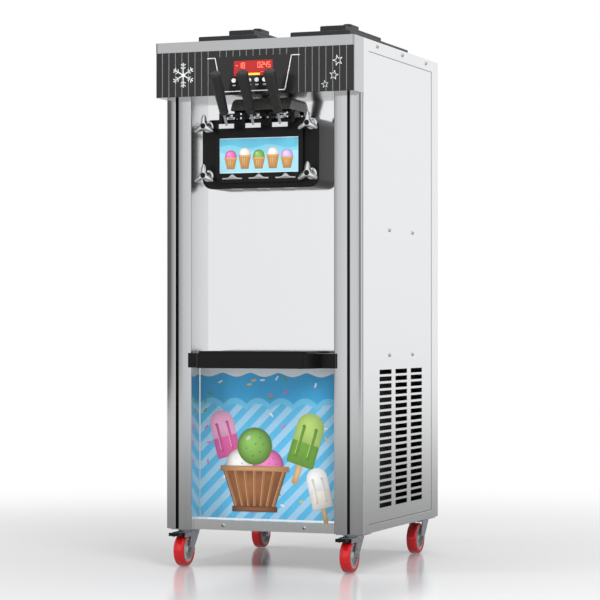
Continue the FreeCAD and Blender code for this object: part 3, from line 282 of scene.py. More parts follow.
# Finishes
class Wiring:
    """Adds shader nodes to a tree, with their inputs set to values or linked to sockets."""

    def __init__(self, owner, clear=False):
        """Tree of a material or a world, emptied if asked."""
        owner.use_nodes = True
        self.tree = owner.node_tree
        if clear:
            self.tree.nodes.clear()

    def feed(self, node, inputs):
        """Links each input that is given a socket, and sets the others."""
        for key, value in inputs.items():
            if isinstance(value, bpy.types.NodeSocket):
                self.tree.links.new(value, node.inputs[key])
            else:
                node.inputs[key].default_value = value
        return node

    def add(self, kind, inputs=None, **settings):
        """New shader node of a kind, with its settings and inputs."""
        node = self.tree.nodes.new("ShaderNode" + kind)
        for key, value in settings.items():
            setattr(node, key, value)
        return self.feed(node, inputs or {})


def finish(name, colour, metal=0.0, rough=0.4, vary=0.06, grain=(60, 60, 60), bump=0.05,
           rough_vary=0.08, **sockets):
    """Principled finish: colour and roughness vary with noise on Object coordinates."""
    look = bpy.data.materials.new(name)
    wires = Wiring(look)
    shader = wires.tree.nodes["Principled BSDF"]
    wires.feed(shader, {"Metallic": metal})
    wires.feed(shader, {key.replace("_", " "): value for key, value in sockets.items()})
    place = wires.add("TexCoord").outputs["Object"]
    along = wires.add("Mapping", {"Vector": place, "Scale": grain}).outputs["Vector"]
    noise = wires.add("TexNoise", {"Vector": along, "Scale": 1.0, "Detail": 6.0}).outputs["Fac"]
    low, high = 0.3, 0.7
    ramp = wires.add("ValToRGB", {"Fac": noise})
    for end, at, gain in zip(ramp.color_ramp.elements, (low, high), (1 - vary, 1 + vary)):
        end.position = at
        end.color = (*np.clip(np.array(colour, float) * gain, 0, 1), 1)
    spread = wires.add("MapRange", {
        "Value": noise, "From Min": low, "From Max": high,
        "To Min": max(0.02, rough - rough_vary), "To Max": rough + rough_vary})
    wires.feed(shader, {"Base Color": ramp.outputs["Color"], "Roughness": spread.outputs["Result"]})
    if bump:
        dents = wires.add("Bump", {"Height": noise, "Strength": bump, "Distance": 0.0004})
        wires.feed(shader, {"Normal": dents.outputs["Normal"]})
    return look


def printed(name, rough, glow=0.0):
    """Ink finish: colour from the piece's tint attribute, slightly mottled."""
    look = bpy.data.materials.new(name)
    wires = Wiring(look)
    shader = wires.tree.nodes["Principled BSDF"]
    tint = wires.add("Attribute", attribute_name="tint").outputs["Color"]
    place = wires.add("TexCoord").outputs["Object"]
    noise = wires.add("TexNoise", {"Vector": place, "Scale": 120}).outputs["Fac"]
    mottle = wires.add("MixRGB", {"Fac": 0.12, "Color1": tint, "Color2": noise},
                       blend_type="SOFT_LIGHT")
    wires.feed(shader, {"Base Color": mottle.outputs["Color"], "Roughness": rough})
    if glow:
        wires.feed(shader, {"Emission Color": tint, "Emission Strength": glow})
    return look


satin = finish("satin_stainless", (0.86, 0.865, 0.87), metal=1.0, rough=0.22, vary=0.012,
               grain=(2, 2, 300), bump=0.0, rough_vary=0.02)
header = finish("brushed_stainless", (0.60, 0.605, 0.61), metal=1.0, rough=0.22, vary=0.03,
                grain=(2, 240, 240), bump=0.0, rough_vary=0.03)
polished = finish("polished_stainless", (0.93, 0.935, 0.94), metal=1.0, rough=0.09, vary=0.008,
                  grain=(200, 2, 2), bump=0.0, rough_vary=0.02)
rolled = finish("rolled_stainless", (0.62, 0.625, 0.63), metal=1.0, rough=0.10, vary=0.012,
                grain=(260, 260, 2), bump=0.0, rough_vary=0.02)
# Dark steel: the lever pivot pin's own finish, and also painted shade in the posts' grooves, at the sunk fields'
# edges and in the screws' recesses.
dark_steel_and_painted_shade = finish("dark_steel_and_painted_shade", (0.05, 0.05, 0.052), metal=1.0, rough=0.35, vary=0.15,
                    grain=(200, 200, 200))
zinc = finish("zinc_plate", (0.55, 0.57, 0.60), metal=1.0, rough=0.33, vary=0.10,
              grain=(90, 90, 90), bump=0.06)
chrome = finish("bright_chrome", (0.83, 0.84, 0.85), metal=1.0, rough=0.07, vary=0.02,
                grain=(80, 80, 80), bump=0.01, rough_vary=0.03)
black = finish("satin_black_plastic", (0.006, 0.006, 0.0064), rough=0.30, vary=0.2,
               grain=(900, 900, 900), bump=0.10, rough_vary=0.05, Specular_IOR_Level=0.2)
moulded = finish("moulded_black_plastic", (0.022, 0.022, 0.0225), rough=0.45, vary=0.15,
                 grain=(700, 700, 700), bump=0.08, rough_vary=0.05, Specular_IOR_Level=0.4)
white = finish("white_plastic", (0.80, 0.81, 0.80), rough=0.30, vary=0.02,
               grain=(300, 300, 300), bump=0.03, rough_vary=0.05)
gloss = finish("gloss_black_panel", (0.012, 0.012, 0.0125), rough=0.22, vary=0.1,
               grain=(40, 40, 40), bump=0.01, rough_vary=0.04)
red_glass = finish("display_red", (0.33, 0.012, 0.012), rough=0.15, vary=0.1,
                   grain=(30, 30, 30), bump=0.0, rough_vary=0.03,
                   Emission_Color=(0.45, 0.015, 0.01, 1), Emission_Strength=0.35)
board = finish("circuit_board", (0.03, 0.16, 0.07), rough=0.45, vary=0.3,
               grain=(200, 200, 200), bump=0.1)
olive = finish("olive_grey_gloss", (0.075, 0.075, 0.064), rough=0.25, vary=0.1,
               bump=0.02, rough_vary=0.05)
red = finish("red_polyurethane", (0.62, 0.008, 0.012), rough=0.2, grain=(120, 120, 120),
             bump=0.02, rough_vary=0.05, Coat_Weight=0.4)
nylon = finish("grey_nylon", (0.42, 0.43, 0.44), vary=0.05, grain=(300, 300, 300))
cast = finish("cast_aluminium", (0.52, 0.53, 0.54), metal=1.0, rough=0.45, vary=0.1,
              grain=(150, 150, 150), bump=0.1)
enamel = finish("black_enamel", (0.025, 0.025, 0.026), rough=0.25, vary=0.1, bump=0.03)
# Near-black fins: black paint on the condenser, and painted shade for the inside of the cabinet behind the vents.
# The black dust filters wear it too.
fins = finish("dark_fins_and_shade", (0.035, 0.036, 0.038), rough=0.55, vary=0.12, grain=(30, 300, 30))
ink = printed("panel_ink", rough=0.28)
display_light = printed("display_light", rough=0.3, glow=1.2)

# Finish of each of the record's slots
LOOKS = {
    "satin_steel": satin, "polished_steel": polished, "zinc_steel": zinc, "chrome": chrome,
    "black_plastic": black, "white_plastic": white, "fascia_black": gloss,
    "display_red": red_glass, "board_green": board, "hood_grey": olive, "red_tyre": red,
    "cast_aluminium": cast, "black_paint": enamel,
}
# Nodes with a finish that is not their slot's
OWN_LOOKS = {
    "lever_pivot_pin": dark_steel_and_painted_shade, "header_shell": header, "condenser": fins,
    "upper_front_panel": polished, "lower_front_panel": polished,
    "left_lid": moulded, "right_lid": moulded,
}
for sub in frame["record"]["subparts"]:
    packed = nodes[sub["node"]]
    look = OWN_LOOKS.get(sub["node"], LOOKS[sub["material_slot"]])
    if not packed.material_slots:
        packed.data.materials.append(look)
    for place in packed.material_slots:
        place.material = look


# Posts
def post_skin(name, sign, node):
    """Rolled post: a crowned face, a groove and an elliptic nose, carried up along z.

    The face sets back by the crown times the square of the distance from its middle, its
    inner edge is a quarter ellipse, and the nose is a quarter ellipse of 28 by 12 mm.
    """
    crown, lip, lip_y, groove, nose = 0.0011, 0.0018, 0.0030, 0.008, 0.012
    rear = POST_HIGH[1] - FACE
    inset, rim = POST_LOW[0], POST_HIGH[0]
    gap_a = inset + 0.034
    gap_b = gap_a + 0.008
    t = np.linspace(0, 1, 17)
    curl = np.linspace(0, np.pi / 2, 7)
    bow = np.linspace(0, np.pi / 2, 25)
    face_x = np.concatenate([inset + lip * (1 - np.cos(curl)), inset + lip + (gap_a - inset - lip) * t])
    face_y = np.concatenate([lip_y - (lip_y - crown) * np.sin(curl), crown * (2 * t - 1) ** 2])
    # Painted light on one sheet of steel: the groove's three runs take dark steel as painted shade, and the inner
    # wall takes the paler satin steel as a painted highlight. The rest is rolled steel.
    looks = (rolled, satin, dark_steel_and_painted_shade)
    bright, edge, shadow = range(3)
    runs = [
        (edge, [inset, inset], [rear, lip_y]),
        (bright, face_x, face_y),
        (shadow, [gap_a, gap_a], [crown, groove]),
        (shadow, [gap_a, gap_b], [groove, groove]),
        (shadow, [gap_b, gap_b], [groove, 0.0]),
        (bright, gap_b + (rim - gap_b) * np.sin(bow), nose * (1 - np.cos(bow))),
        (bright, [rim, rim], [nose, rear]),
        (bright, [rim, inset], [rear, rear]),
    ]
    ends = (POST_LOW[2], POST_HIGH[2])
    grids = []
    for _, xs, ys in runs:
        line = np.stack([np.asarray(xs, float) * sign, np.asarray(ys, float) + FACE], -1)
        pts = np.empty((len(line), 2, 3))
        pts[:, :, :2] = line[::sign, None, :]
        pts[:, :, 2] = ends
        grids.append(pts)
    outline = np.concatenate([g[:, 0, :] for g in grids[::sign]])
    # The two ends are fans from one point inside the outline
    hub = np.array((0.224 * sign, FACE + 0.030, 0.0))
    for z in ends:
        ring = outline.copy()
        ring[:, 2] = z
        mid = np.broadcast_to(hub + (0, 0, z), ring.shape)
        grids.append(np.stack([mid, ring] if z == ends[0] else [ring, mid], 1))
    ob = strips(name, grids, [look for look, _, _ in runs] + [bright, bright])
    dress(ob, "satin_steel", *looks, instead=node)


post_skin("right_post_skin", 1, "right_post")
post_skin("left_post_skin", -1, "left_post")

# Hand screws: height over the flange's seat, core radius and lobe height of each ring
KNOB_SEAT = FACE - 0.01028
KNOB_RINGS = np.array([
    (0.0, 0.0052, 0), (0.0, 0.0132, 0), (0.0006, 0.0140, 0), (0.0044, 0.0140, 0),
    (0.0050, 0.0132, 0), (0.0052, 0.0106, 0), (0.0166, 0.0100, 0), (0.0206, 0.0100, 0.0030),
    (0.0231, 0.0101, 0.0100), (0.0256, 0.0103, 0.0160), (0.0288, 0.0104, 0.0180),
    (0.0321, 0.0103, 0.0174), (0.0346, 0.0099, 0.0140), (0.0364, 0.0090, 0.0080),
    (0.0373, 0.0078, 0.0020), (0.0374, 0.0068, 0), (0.0366, 0.0062, 0), (0.0364, 0.0052, 0)])
# Plug in the middle of a hand screw: radius and height
PLUG = [(0.0062, 0.0), (0.0060, 0.0007), (0.0045, 0.0011), (0.0001, 0.0012)]


def hand_screw(node):
    """Cast knob of three lobes: each ring's radius is core + lobe ((1 + cos 3b) / 2) cubed.

    The angle b is counted from the lobe that points up. A dark plug closes the middle.
    """
    x, _, z = PIVOTS[node]
    steps = 120
    a = np.linspace(0, 2 * np.pi, steps, endpoint=False)
    lobe = ((1 + np.cos(3 * (a - np.pi / 2))) / 2) ** 3
    height, core, reach = KNOB_RINGS.T
    y = KNOB_SEAT - height
    r = core + reach * lobe[:, None]
    pts = np.stack([x + r * np.cos(a)[:, None], np.broadcast_to(y, r.shape),
                    z + r * np.sin(a)[:, None]], -1)
    knob = weld(put(node + "_cast", pts.reshape(-1, 3), lattice(steps, len(y), loop_u=True)))
    dress(knob, "chrome", chrome, body=node, instead=node)
    plug = spun(node + "_plug", PLUG, (x, y[-1], z), (0, -1, 0), 40)
    dress(plug, "black_plastic", black, body=node, instead=node)


for level in ("upper", "lower"):
    for hand in ("left", "right"):
        hand_screw("%s_%s_hand_screw" % (level, hand))


# Wheels
def wheel(place):
    """Tyre and core: closed profiles (r, h) carried round the axle."""
    node = place + "_wheel"
    axle = PIVOTS[node]
    half, core_r, inset, web = 0.0135, 0.029, 0.0015, 0.006
    wall, crown, shoulder = 0.0305, 0.034, 0.006
    tyre = ([(core_r, -half + inset), (wall, -half)] + arc(crown, -half + shoulder, shoulder, -90, -8)
            + arc(crown, half - shoulder, shoulder, 8, 90) + [(wall, half), (core_r, half - inset)])
    ob = spun(place + "_tyre", tyre + tyre[:1], axle, (1, 0, 0), 96)
    dress(ob, "red_tyre", red, body=node, instead=node)
    side = [(0.0042, half), (0.0085, half), (0.0095, half - 0.002), (0.0105, half - web),
            (0.0235, half - web), (0.0250, half - inset), (core_r, half - inset)]
    core = [(r, -h) for r, h in side] + side[::-1]
    ob = spun(place + "_wheel_core", core + core[:1], axle, (1, 0, 0), 72)
    dress(ob, "white_plastic", nylon, body=node, instead=node)


for end in ("front", "rear"):
    for hand in ("left", "right"):
        wheel(end + "_" + hand)


# Grips
def grip_profile(start, tip):
    """Collar, a shaft that widens as the 1.15th power of its length, and a rounded end."""
    neck, waist, flare, shaft_start = 0.0112, 0.0104, 0.0037, start + 0.013
    collar = [(0.0040, start), (0.0088, start), (waist, start + 0.0012), (neck, start + 0.004),
              (neck, start + 0.010), (waist, start + 0.0115), (neck, shaft_start)]
    shaft = [(neck + flare * f ** 1.15, shaft_start + (tip - shaft_start) * f)
             for f in np.linspace(0.1, 1, 10)]
    end = [(0.0143, tip + 0.0010), (0.0133, tip + 0.0024), (0.0115, tip + 0.0035),
           (0.0080, tip + 0.0040), (0.0002, tip + 0.0040)]
    return collar + shaft + end


# Rod of a lever, from the lever's pivot, and how far over the pivot its grip starts
ROD_FOOT, ROD_TIP = np.array((0.0, -0.026, -0.0265)), np.array((0.0, -0.100, 0.093))
ROD = np.linalg.norm(ROD_TIP - ROD_FOOT)
LEAN = (ROD_TIP - ROD_FOOT) / ROD
GRIP_RISE = 0.002
GRIP = grip_profile(ROD - (ROD_TIP[2] - GRIP_RISE) / LEAN[2], ROD)
for name, _ in LANES:
    lever = name + "_lever"
    sleeve = spun(name + "_grip_sleeve", GRIP, PIVOTS[lever] + ROD_FOOT, LEAN, 64)
    dress(sleeve, "black_plastic", moulded, body=lever, instead=name + "_grip")


# Fascia
def fascia_print():
    """Bracket, pinstripes, stars, a frost flower and button marks."""
    pale, grey, dim = (0.78, 0.79, 0.80), (0.23, 0.23, 0.235), (0.19, 0.19, 0.194)
    art = Print(FASCIA, 0.00015)
    pitch, stripe = 0.0175, 0.0019
    low, bracket, shelf, high = 1.1595, 1.2500, 1.2525, 1.2675
    outer = np.arange(0.1185, 0.256, pitch)
    for x in np.concatenate([-outer, outer]):
        art.line([(x, low), (x, high)], stripe, 0.0, dim)
    for x in np.arange(-0.0875, 0.09, pitch):
        art.line([(x, shelf), (x, high)], stripe, 0.0, dim)
    rule, foot_x, foot_z, knee_x, tail_x = 0.0022, 0.083, 1.1675, 0.100, 0.121
    side = np.linspace(0, 1, 12)[:, None]
    for s in (-1, 1):
        foot, knee = np.array((foot_x * s, foot_z)), np.array((knee_x * s, bracket))
        art.line(foot + side * (knee - foot), rule, 0.0001, pale)
        art.line([knee, (tail_x * s, bracket)], rule, 0.0001, pale)
    art.line([(-foot_x, foot_z), (foot_x, foot_z)], rule, 0.0001, pale)
    for x, z, r, turn in ((0.219, 1.232, 0.0140, 0.25), (0.209, 1.197, 0.0125, -0.2),
                          (0.186, 1.176, 0.0100, 0.1)):
        art.fill(star(x, z, r, turn), 0.0002, pale)
        art.fill(star(x, z, r * 0.72, turn), 0.0004, (0.02, 0.02, 0.021))
    # Frost flower: six arms, each with two pairs of twigs
    heart, arm = np.array((-0.185, 1.212)), 0.030
    for k in range(6):
        a = k * np.pi / 3 + np.pi / 6
        d = np.array((np.cos(a), np.sin(a)))
        n = np.array((-d[1], d[0]))
        art.line([heart + d * 0.004, heart + d * arm], 0.0026, 0.0002, pale)
        for f in (0.5, 0.75):
            p = heart + d * arm * f
            for s in (-1, 1):
                art.line([p, p + (d * 0.6 + n * s * 0.8) * arm * 0.26], 0.0020, 0.0002, pale)
    art.fill(disc(*heart, 0.0045), 0.0003, pale)
    # A long and a short mark under each button
    for i in range(6):
        x = -0.05 + 0.02 * i
        for half, z, width, hue in ((0.0045, 1.1825, 0.0014, pale), (0.0028, 1.1795, 0.0011, grey)):
            art.line([(x - half, z), (x + half, z)], width, 0.0001, hue)
    art.done("fascia_print", ink, "fascia_black")


fascia_print()

# Bars of a lit figure, on a square of 1 by 1
BARS = {"a": ((0, 1), (1, 1)), "b": ((1, 1), (1, 0.5)), "c": ((1, 0.5), (1, 0)), "d": ((0, 0), (1, 0)),
        "e": ((0, 0.5), (0, 0)), "f": ((0, 1), (0, 0.5)), "g": ((0, 0.5), (1, 0.5))}
FIGURES = {"0": "abcdef", "1": "bc", "2": "abged", "4": "fgbc", "5": "afgcd", "8": "abcdefg", "-": "g"}


def display_figures():
    """Lit figures of seven bars, a bar of light and two rows of dashes."""
    glow = Print(DISPLAY, 0.0004)
    bright, faint, amber = (1.0, 0.16, 0.10), (0.9, 0.12, 0.08), (0.95, 0.42, 0.05)
    wide, tall, step, foot = 0.0058, 0.0125, 0.0088, 1.2235
    for text, x in (("-18", -0.046), ("0245", 0.012)):
        for k, figure in enumerate(text):
            for bar in FIGURES[figure]:
                p = np.array(BARS[bar], float) * (wide, tall) + (x + step * k, foot)
                glow.line(p, 0.0016, 0.0, bright)
    glow.fill(slab(-0.016, 0.0175, 1.2055, 1.2105), 0.0, amber)
    dash, dash_z = 0.003, 1.213
    for i in range(5):
        for start in (-0.044, 0.020):
            x = start + 0.005 * i
            glow.line([(x, dash_z), (x + dash, dash_z)], 0.0012, 0.0, faint)
    glow.done("display_figures", display_light, "display_red")


display_figures()

# Colours of the ices
CREAM, PINK, LEAF = (0.84, 0.80, 0.72), (0.74, 0.13, 0.38), (0.16, 0.36, 0.05)


def lolly(poster, x, z, turn, flesh, tip, scale, layer):
    """Ice lolly: stick, rounded bar, pale dipped end and two grooves, each with a light."""
    flesh, tip = np.array(flesh), np.array(tip)

    def at(dx, dz):
        """Point of the lolly, scaled and turned with it."""
        return turned(x, z, dx * scale, dz * scale, turn)

    def bar(middle, wide, tall, arch, low=0.004):
        """Bar of the lolly, scaled and turned with it."""
        return pill(*middle, wide * scale, tall * scale, arch * scale, turn, low)

    poster.fill(bar(at(0, -0.066), 0.013, 0.05, 0.0064), layer, (0.48, 0.30, 0.13),
                heart=(0.70, 0.50, 0.27))
    poster.fill(bar((x, z), 0.058, 0.106, 0.028), layer + 0.0002, flesh * 0.75, at(-0.006, 0.006),
                flesh * 1.1)
    poster.fill(bar(at(0, 0.023), 0.058, 0.060, 0.028, 0.002), layer + 0.0004, tip * 0.8,
                at(-0.008, 0.030), lit(tip, 1.15))
    for dx in (-0.013, 0.013):
        poster.fill(bar(at(dx, -0.006), 0.0075, 0.066, 0.0036, 0.002), layer + 0.0006, flesh * 0.7,
                    heart=flesh * 0.9)
        poster.line([at(dx - 0.003, -0.034), at(dx - 0.003, 0.022)], 0.0012 * scale, layer + 0.0008,
                    lit(tip, 1.2))


def scoop(art, x, z, r, hue, rise):
    """Ball of ice: a disc shaded from a light spot off its middle, with a glint and pits."""
    hue = np.array(hue)
    art.fill(disc(x, z, r, 64), rise, hue * 0.5, (x - 0.3 * r, z + 0.35 * r), lit(hue, 1.5, 0.06))
    art.fill(disc(x - 0.36 * r, z + 0.44 * r, r * 0.16, 24, 0.6, 0.7), rise + 0.0002, hue * 0.4 + 0.5)
    pits = np.array([(0.30, -0.30), (0.52, 0.10), (-0.10, -0.52), (0.05, 0.12), (-0.48, -0.12),
                     (0.34, 0.46)])
    for dx, dz in pits * r:
        art.fill(disc(x + dx, z + dz, r * 0.055, 14, 0.6, 0.4), rise + 0.0002, hue * 0.55)


def basket(art, rise):
    """Tapered basket of slats, with a rim and a foot."""
    body = np.array([(-0.126, 0.244), (0.046, 0.244), (0.014, 0.150), (-0.094, 0.150)])
    art.fill(body, rise, (0.16, 0.055, 0.022), (-0.06, 0.205), (0.34, 0.14, 0.055))
    for f in np.arange(7) / 6:
        slat = np.array([(-0.118 + 0.156 * f, 0.240), (-0.089 + 0.098 * f, 0.152)])
        art.line(slat, 0.0065, rise + 0.0002, (0.36, 0.16, 0.065))
        art.line(slat - [(0.003, 0), (0.002, 0)], 0.0012, rise + 0.0004, (0.62, 0.38, 0.19))
    art.fill(slab(-0.131, 0.051, 0.238, 0.251), rise + 0.0006, (0.36, 0.17, 0.07),
             heart=(0.60, 0.34, 0.16))
    art.fill(slab(-0.100, 0.020, 0.138, 0.151), rise + 0.0006, (0.12, 0.045, 0.02),
             heart=(0.30, 0.12, 0.05))


def lower_panel_print():
    """Poster: slanted stripes, wavy bands along the top, plain ices and scattered crumbs."""
    sky, lilac = (0.11, 0.50, 0.80), (0.36, 0.63, 0.84)
    haze, deep = (0.16, 0.57, 0.84), (0.05, 0.40, 0.74)
    frost, snow, orange = (0.80, 0.86, 0.90), (0.85, 0.86, 0.88), (0.85, 0.50, 0.06)
    poster = Print(PANEL, 0.0003)
    x0, x1, z0, z1 = -0.1865, 0.1865, 0.1205, 0.4935
    poster.fill(slab(x0, x1, z0, z1), 0.0, sky)
    step = 0.046
    climb = np.linspace(0, 1, 60)[:, None]
    for k in range(-9, 9):
        left = np.array((x0 + k * step, z0)) + climb * (z1 - z0)
        right = left + (step * 0.5, 0)
        keep = (right[:, 0] > x0) & (left[:, 0] < x1)
        if keep.sum() > 1:
            band = np.stack([left[keep], right[keep]], 1).reshape(-1, 2)
            band[:, 0] = np.clip(band[:, 0], x0, x1)
            poster.add(band, lattice(int(keep.sum()), 2), 0.0002, lilac)
    u = np.linspace(0, 1, 200)
    across, top = x0 + u * (x1 - x0), np.full_like(u, z1)
    wave = np.abs(np.sin(u * np.pi * 6)) ** 0.8
    for rise, drop, hue in ((0.0004, 0.105, haze), (0.0006, 0.090, deep)):
        poster.between(across, top, z1 - drop + 0.016 * wave, rise, hue)
    icing = z1 - 0.012 - 0.010 * np.abs(np.sin(u * np.pi * 5 + 0.6)) ** 1.5
    poster.between(across, top, icing, 0.0008, frost)
    lolly(poster, 0.098, 0.318, -0.30, LEAF, (0.42, 0.60, 0.16), 1.25, 0.0012)
    lolly(poster, -0.122, 0.330, 0.26, PINK, (0.84, 0.42, 0.64), 1.1, 0.0012)
    lolly(poster, 0.130, 0.200, 0.22, CREAM, (0.90, 0.89, 0.86), 0.95, 0.0024)
    scoop(poster, -0.076, 0.252, 0.041, CREAM, 0.0036)
    scoop(poster, -0.004, 0.252, 0.041, PINK, 0.0041)
    scoop(poster, -0.040, 0.300, 0.046, LEAF, 0.0046)
    basket(poster, 0.0054)
    spots = np.random.default_rng(7)
    for k in range(46):
        x, z, turn = spots.uniform(-0.175, 0.175), spots.uniform(0.135, 0.470), spots.uniform(0, np.pi)
        crumb = pill(x, z, 0.0042, 0.0125, 0.0021, turn, 0.0019)
        poster.fill(crumb, 0.0010, (PINK, snow, LEAF, orange)[k % 4])
    poster.done("lower_panel_print", ink, "polished_steel")


lower_panel_print()


def head_picture():
    """Pale sky with two wavy bands, and a row of scoops in ribbed cups."""
    pic = Print(PICTURE, 0.0003)
    half, low, high = 0.103, 0.972, 1.056
    pic.fill(slab(-half, half, low, high), 0.0, (0.13, 0.50, 0.67))
    u = np.linspace(-half, half, 90)
    for j, (base, swell, hue) in enumerate(((1.035, 0.005, (0.22, 0.58, 0.73)),
                                            (1.018, 0.006, (0.34, 0.67, 0.79)))):
        pic.between(u, base + swell * np.sin(u * 60 + j * 2), np.full_like(u, low),
                    0.0002 * (j + 1), hue)
    foot, brim, stem = 0.981, 0.016, 0.010
    for k, hue in enumerate((PINK, CREAM, LEAF, CREAM, (0.55, 0.38, 0.75))):
        x = -0.074 + 0.037 * k
        z = 1.012 + (0.006 if k % 2 else 0.0)
        mouth = z - 0.005
        hue = np.array(hue)
        pic.fill(disc(x, z, 0.0155, 48), 0.0007, hue * 0.55, (x - 0.005, z + 0.006), lit(hue, 1.35, 0.06))
        pic.fill(disc(x - 0.0055, z + 0.0072, 0.0026, 20, 0.6, 0.7), 0.0009, hue * 0.4 + 0.5)
        pic.fill([(x - brim, mouth), (x + brim, mouth), (x + stem, foot), (x - stem, foot)], 0.0011,
                 (0.38, 0.18, 0.055), (x - 0.004, z - 0.012), (0.66, 0.38, 0.14))
        for f in (-0.6, -0.2, 0.2, 0.6):
            pic.line([(x + brim * f, mouth), (x + stem * f, foot)], 0.0011, 0.0012, (0.32, 0.15, 0.05))
        pic.fill(slab(x - 0.0168, x + 0.0168, z - 0.0072, z - 0.0028), 0.0013, (0.48, 0.26, 0.09),
                 heart=(0.74, 0.47, 0.20))
    pic.line(slab(-half, half, low, high), 0.0015, 0.0015, (0.75, 0.85, 0.90), closed=True)
    pic.done("head_picture", ink, "black_plastic")


head_picture()


# Winged caps under the picture, one over each spout
def spout_cap(name, x):
    """Winged cap: its height and its bulge are bells over the middle, thin to each side."""
    across, up = np.meshgrid(np.linspace(-1, 1, 41), np.linspace(0, 1, 7), indexing="ij")
    wing, foot, gap = 0.026, 0.9565, 0.0002
    height = 0.0035 + 0.009 * np.exp(-(across / 0.32) ** 2)
    round_up = np.sin(np.pi * up)
    bulge = 0.006 * np.exp(-(across / 0.4) ** 2) * round_up + 0.0016
    pts = np.stack([x + across * wing, PICTURE - gap - bulge * round_up ** 0.5, foot + up * height], -1)
    cap = put(name + "_spout_cap", pts.reshape(-1, 3), lattice(*across.shape))
    dress(cap, "white_plastic", nylon)


for name, x in LANES:
    spout_cap(name, x)


# Side panels
def painted_field_shade(name, sign):
    """Painted shade: a narrow dark frame just inside the edge of a panel's sunk field, standing in for the shade
    on the field's walls.
    """
    ya, yb, za, zb = FACE + 0.0508, FACE + 0.5462, 0.1138, 1.2642
    outer = np.array([(ya, za), (yb, za), (yb, zb), (ya, zb)])
    inner = outer + np.array([(1, 1), (-1, 1), (-1, -1), (1, -1)]) * 0.0014
    pts = np.empty((4, 2, 3))
    pts[:, :, 0] = sign * (FIELD + 0.00005)
    pts[:, :, 1:] = np.stack([outer, inner], 1)
    quads = lattice(4, 2, loop_u=True)[:, ::sign]
    shade_frame = put(name + "_painted_field_shade", pts.reshape(-1, 3), quads, smooth=False)
    dress(shade_frame, "satin_steel", dark_steel_and_painted_shade)


painted_field_shade("right", 1)
painted_field_shade("left", -1)


# Domed screws on the side panels, the sill and along the edges of the rear panel
def screw_heads(name, seats, normals, slot, instead=None):
    """Domes: one profile (r, h) carried round the normal at each seat, with the recess painted dark steel as
    shade.
    """
    r, h = np.array([(0.0050, 0.0), (0.0050, 0.0010), (0.0047, 0.0018), (0.0039, 0.0025),
                     (0.0028, 0.00288), (0.0022, 0.00295), (0.0019, 0.0028), (0.0016, 0.0015),
                     (0.0001, 0.0014)]).T
    steps, recess = 32, 5
    a = np.linspace(0, 2 * np.pi, steps, endpoint=False)
    seats, w = np.asarray(seats, float), np.asarray(normals, float)
    u = np.where(np.abs(w[:, :1]) > 0.5, (0.0, 1.0, 0.0), (1.0, 0.0, 0.0))
    v = np.cross(w, u)
    ring = np.cos(a)[None, :, None] * u[:, None] + np.sin(a)[None, :, None] * v[:, None]
    pts = (seats[:, None, None] + ring[:, :, None] * r[:, None]
           + w[:, None, None] * h[:, None])
    grid = lattice(steps, len(r), loop_u=True)
    quads = grid + (np.arange(len(seats)) * steps * len(r))[:, None, None]
    ob = put(name, pts.reshape(-1, 3), quads.reshape(-1, 4))
    # Faces inside the recess take dark steel: painted shade.
    dark = np.tile(np.arange(len(grid)) % (len(r) - 1) >= recess, len(seats))
    ob.data.polygons.foreach_set("material_index", dark.astype(np.int32))
    dress(weld(ob), slot, chrome, dark_steel_and_painted_shade, instead=instead)


TOP_ROW, PAIR_ROWS, SILL_ROW = 1.282, (0.836, 0.525), 0.105
side_seats = [(SIDE, FACE + y, TOP_ROW) for y in (0.115, 0.308, 0.499)]
side_seats += [(FIELD, FACE + y, z) for z in PAIR_ROWS for y in (0.209, 0.390)]
seats = [(sign * x, y, z) for sign in (-1, 1) for x, y, z in side_seats]
normals = [(np.sign(x), 0, 0) for x, y, z in seats]
seats += [(x, SILL, SILL_ROW) for x in (-0.107, 0.107)]
normals += [(0, -1, 0)] * 2
screw_heads("panel_screw_heads", seats, normals, "chrome", "panel_screws")
REAR_ROWS, REAR_EDGE = (0.118, 0.500, 0.885, 1.270), 0.246
seats = [(x, BACK, z) for z in REAR_ROWS for x in (-REAR_EDGE, REAR_EDGE)]
seats += [(0.0, BACK, REAR_ROWS[0]), (0.0, BACK, REAR_ROWS[-1])]
screw_heads("rear_screw_heads", seats, [(0, 1, 0)] * len(seats), "zinc_steel")


# Behind the vents: the condenser's fins, and folded dust filters on the left and at the back
def pleats(name, start, end, depth, z_range, folds, slot):
    """Folded sheet: a zigzag of the given depth along a run in plan, carried up along z."""
    n = 2 * folds + 1
    start, end = np.array(start), np.array(end)
    way = (end - start) / np.linalg.norm(end - start)
    out = np.array((way[1], -way[0]))
    line = (start + np.linspace(0, 1, n)[:, None] * (end - start)
            + (np.arange(n) % 2)[:, None] * depth * out)
    pts = np.empty((n, 2, 3))
    pts[:, :, :2] = line[:, None]
    pts[:, :, 2] = z_range
    ob = put(name, pts.reshape(-1, 3), lattice(n, 2), smooth=False)
    dress(ob, slot, fins)


COIL_X, LEFT_X, REAR_Y, FOLD = COIL_HIGH[0] + 0.0002, -0.2500, BACK - 0.011, 0.0035
COIL_EDGE = 0.001
pleats("condenser_fins", (COIL_X, COIL_LOW[1] + COIL_EDGE), (COIL_X, COIL_HIGH[1] - COIL_EDGE), 0.0068,
       (0.100, 0.464), 75, "cast_aluminium")
pleats("left_dust_filter", (LEFT_X, FACE + 0.480), (LEFT_X, FACE + 0.120), FOLD, (0.140, 0.500), 90,
       "black_plastic")
pleats("rear_dust_filter", (0.145, REAR_Y), (-0.145, REAR_Y), FOLD, (0.250, 0.420), 72,
       "black_plastic")

# Floor and studio
WHITE = (1, 1, 1, 1)


def mix(wires, share, first, second):
    """Shader between two others, by a share of the second."""
    return wires.add("MixShader", {"Fac": share, 1: first, 2: second}).outputs["Shader"]


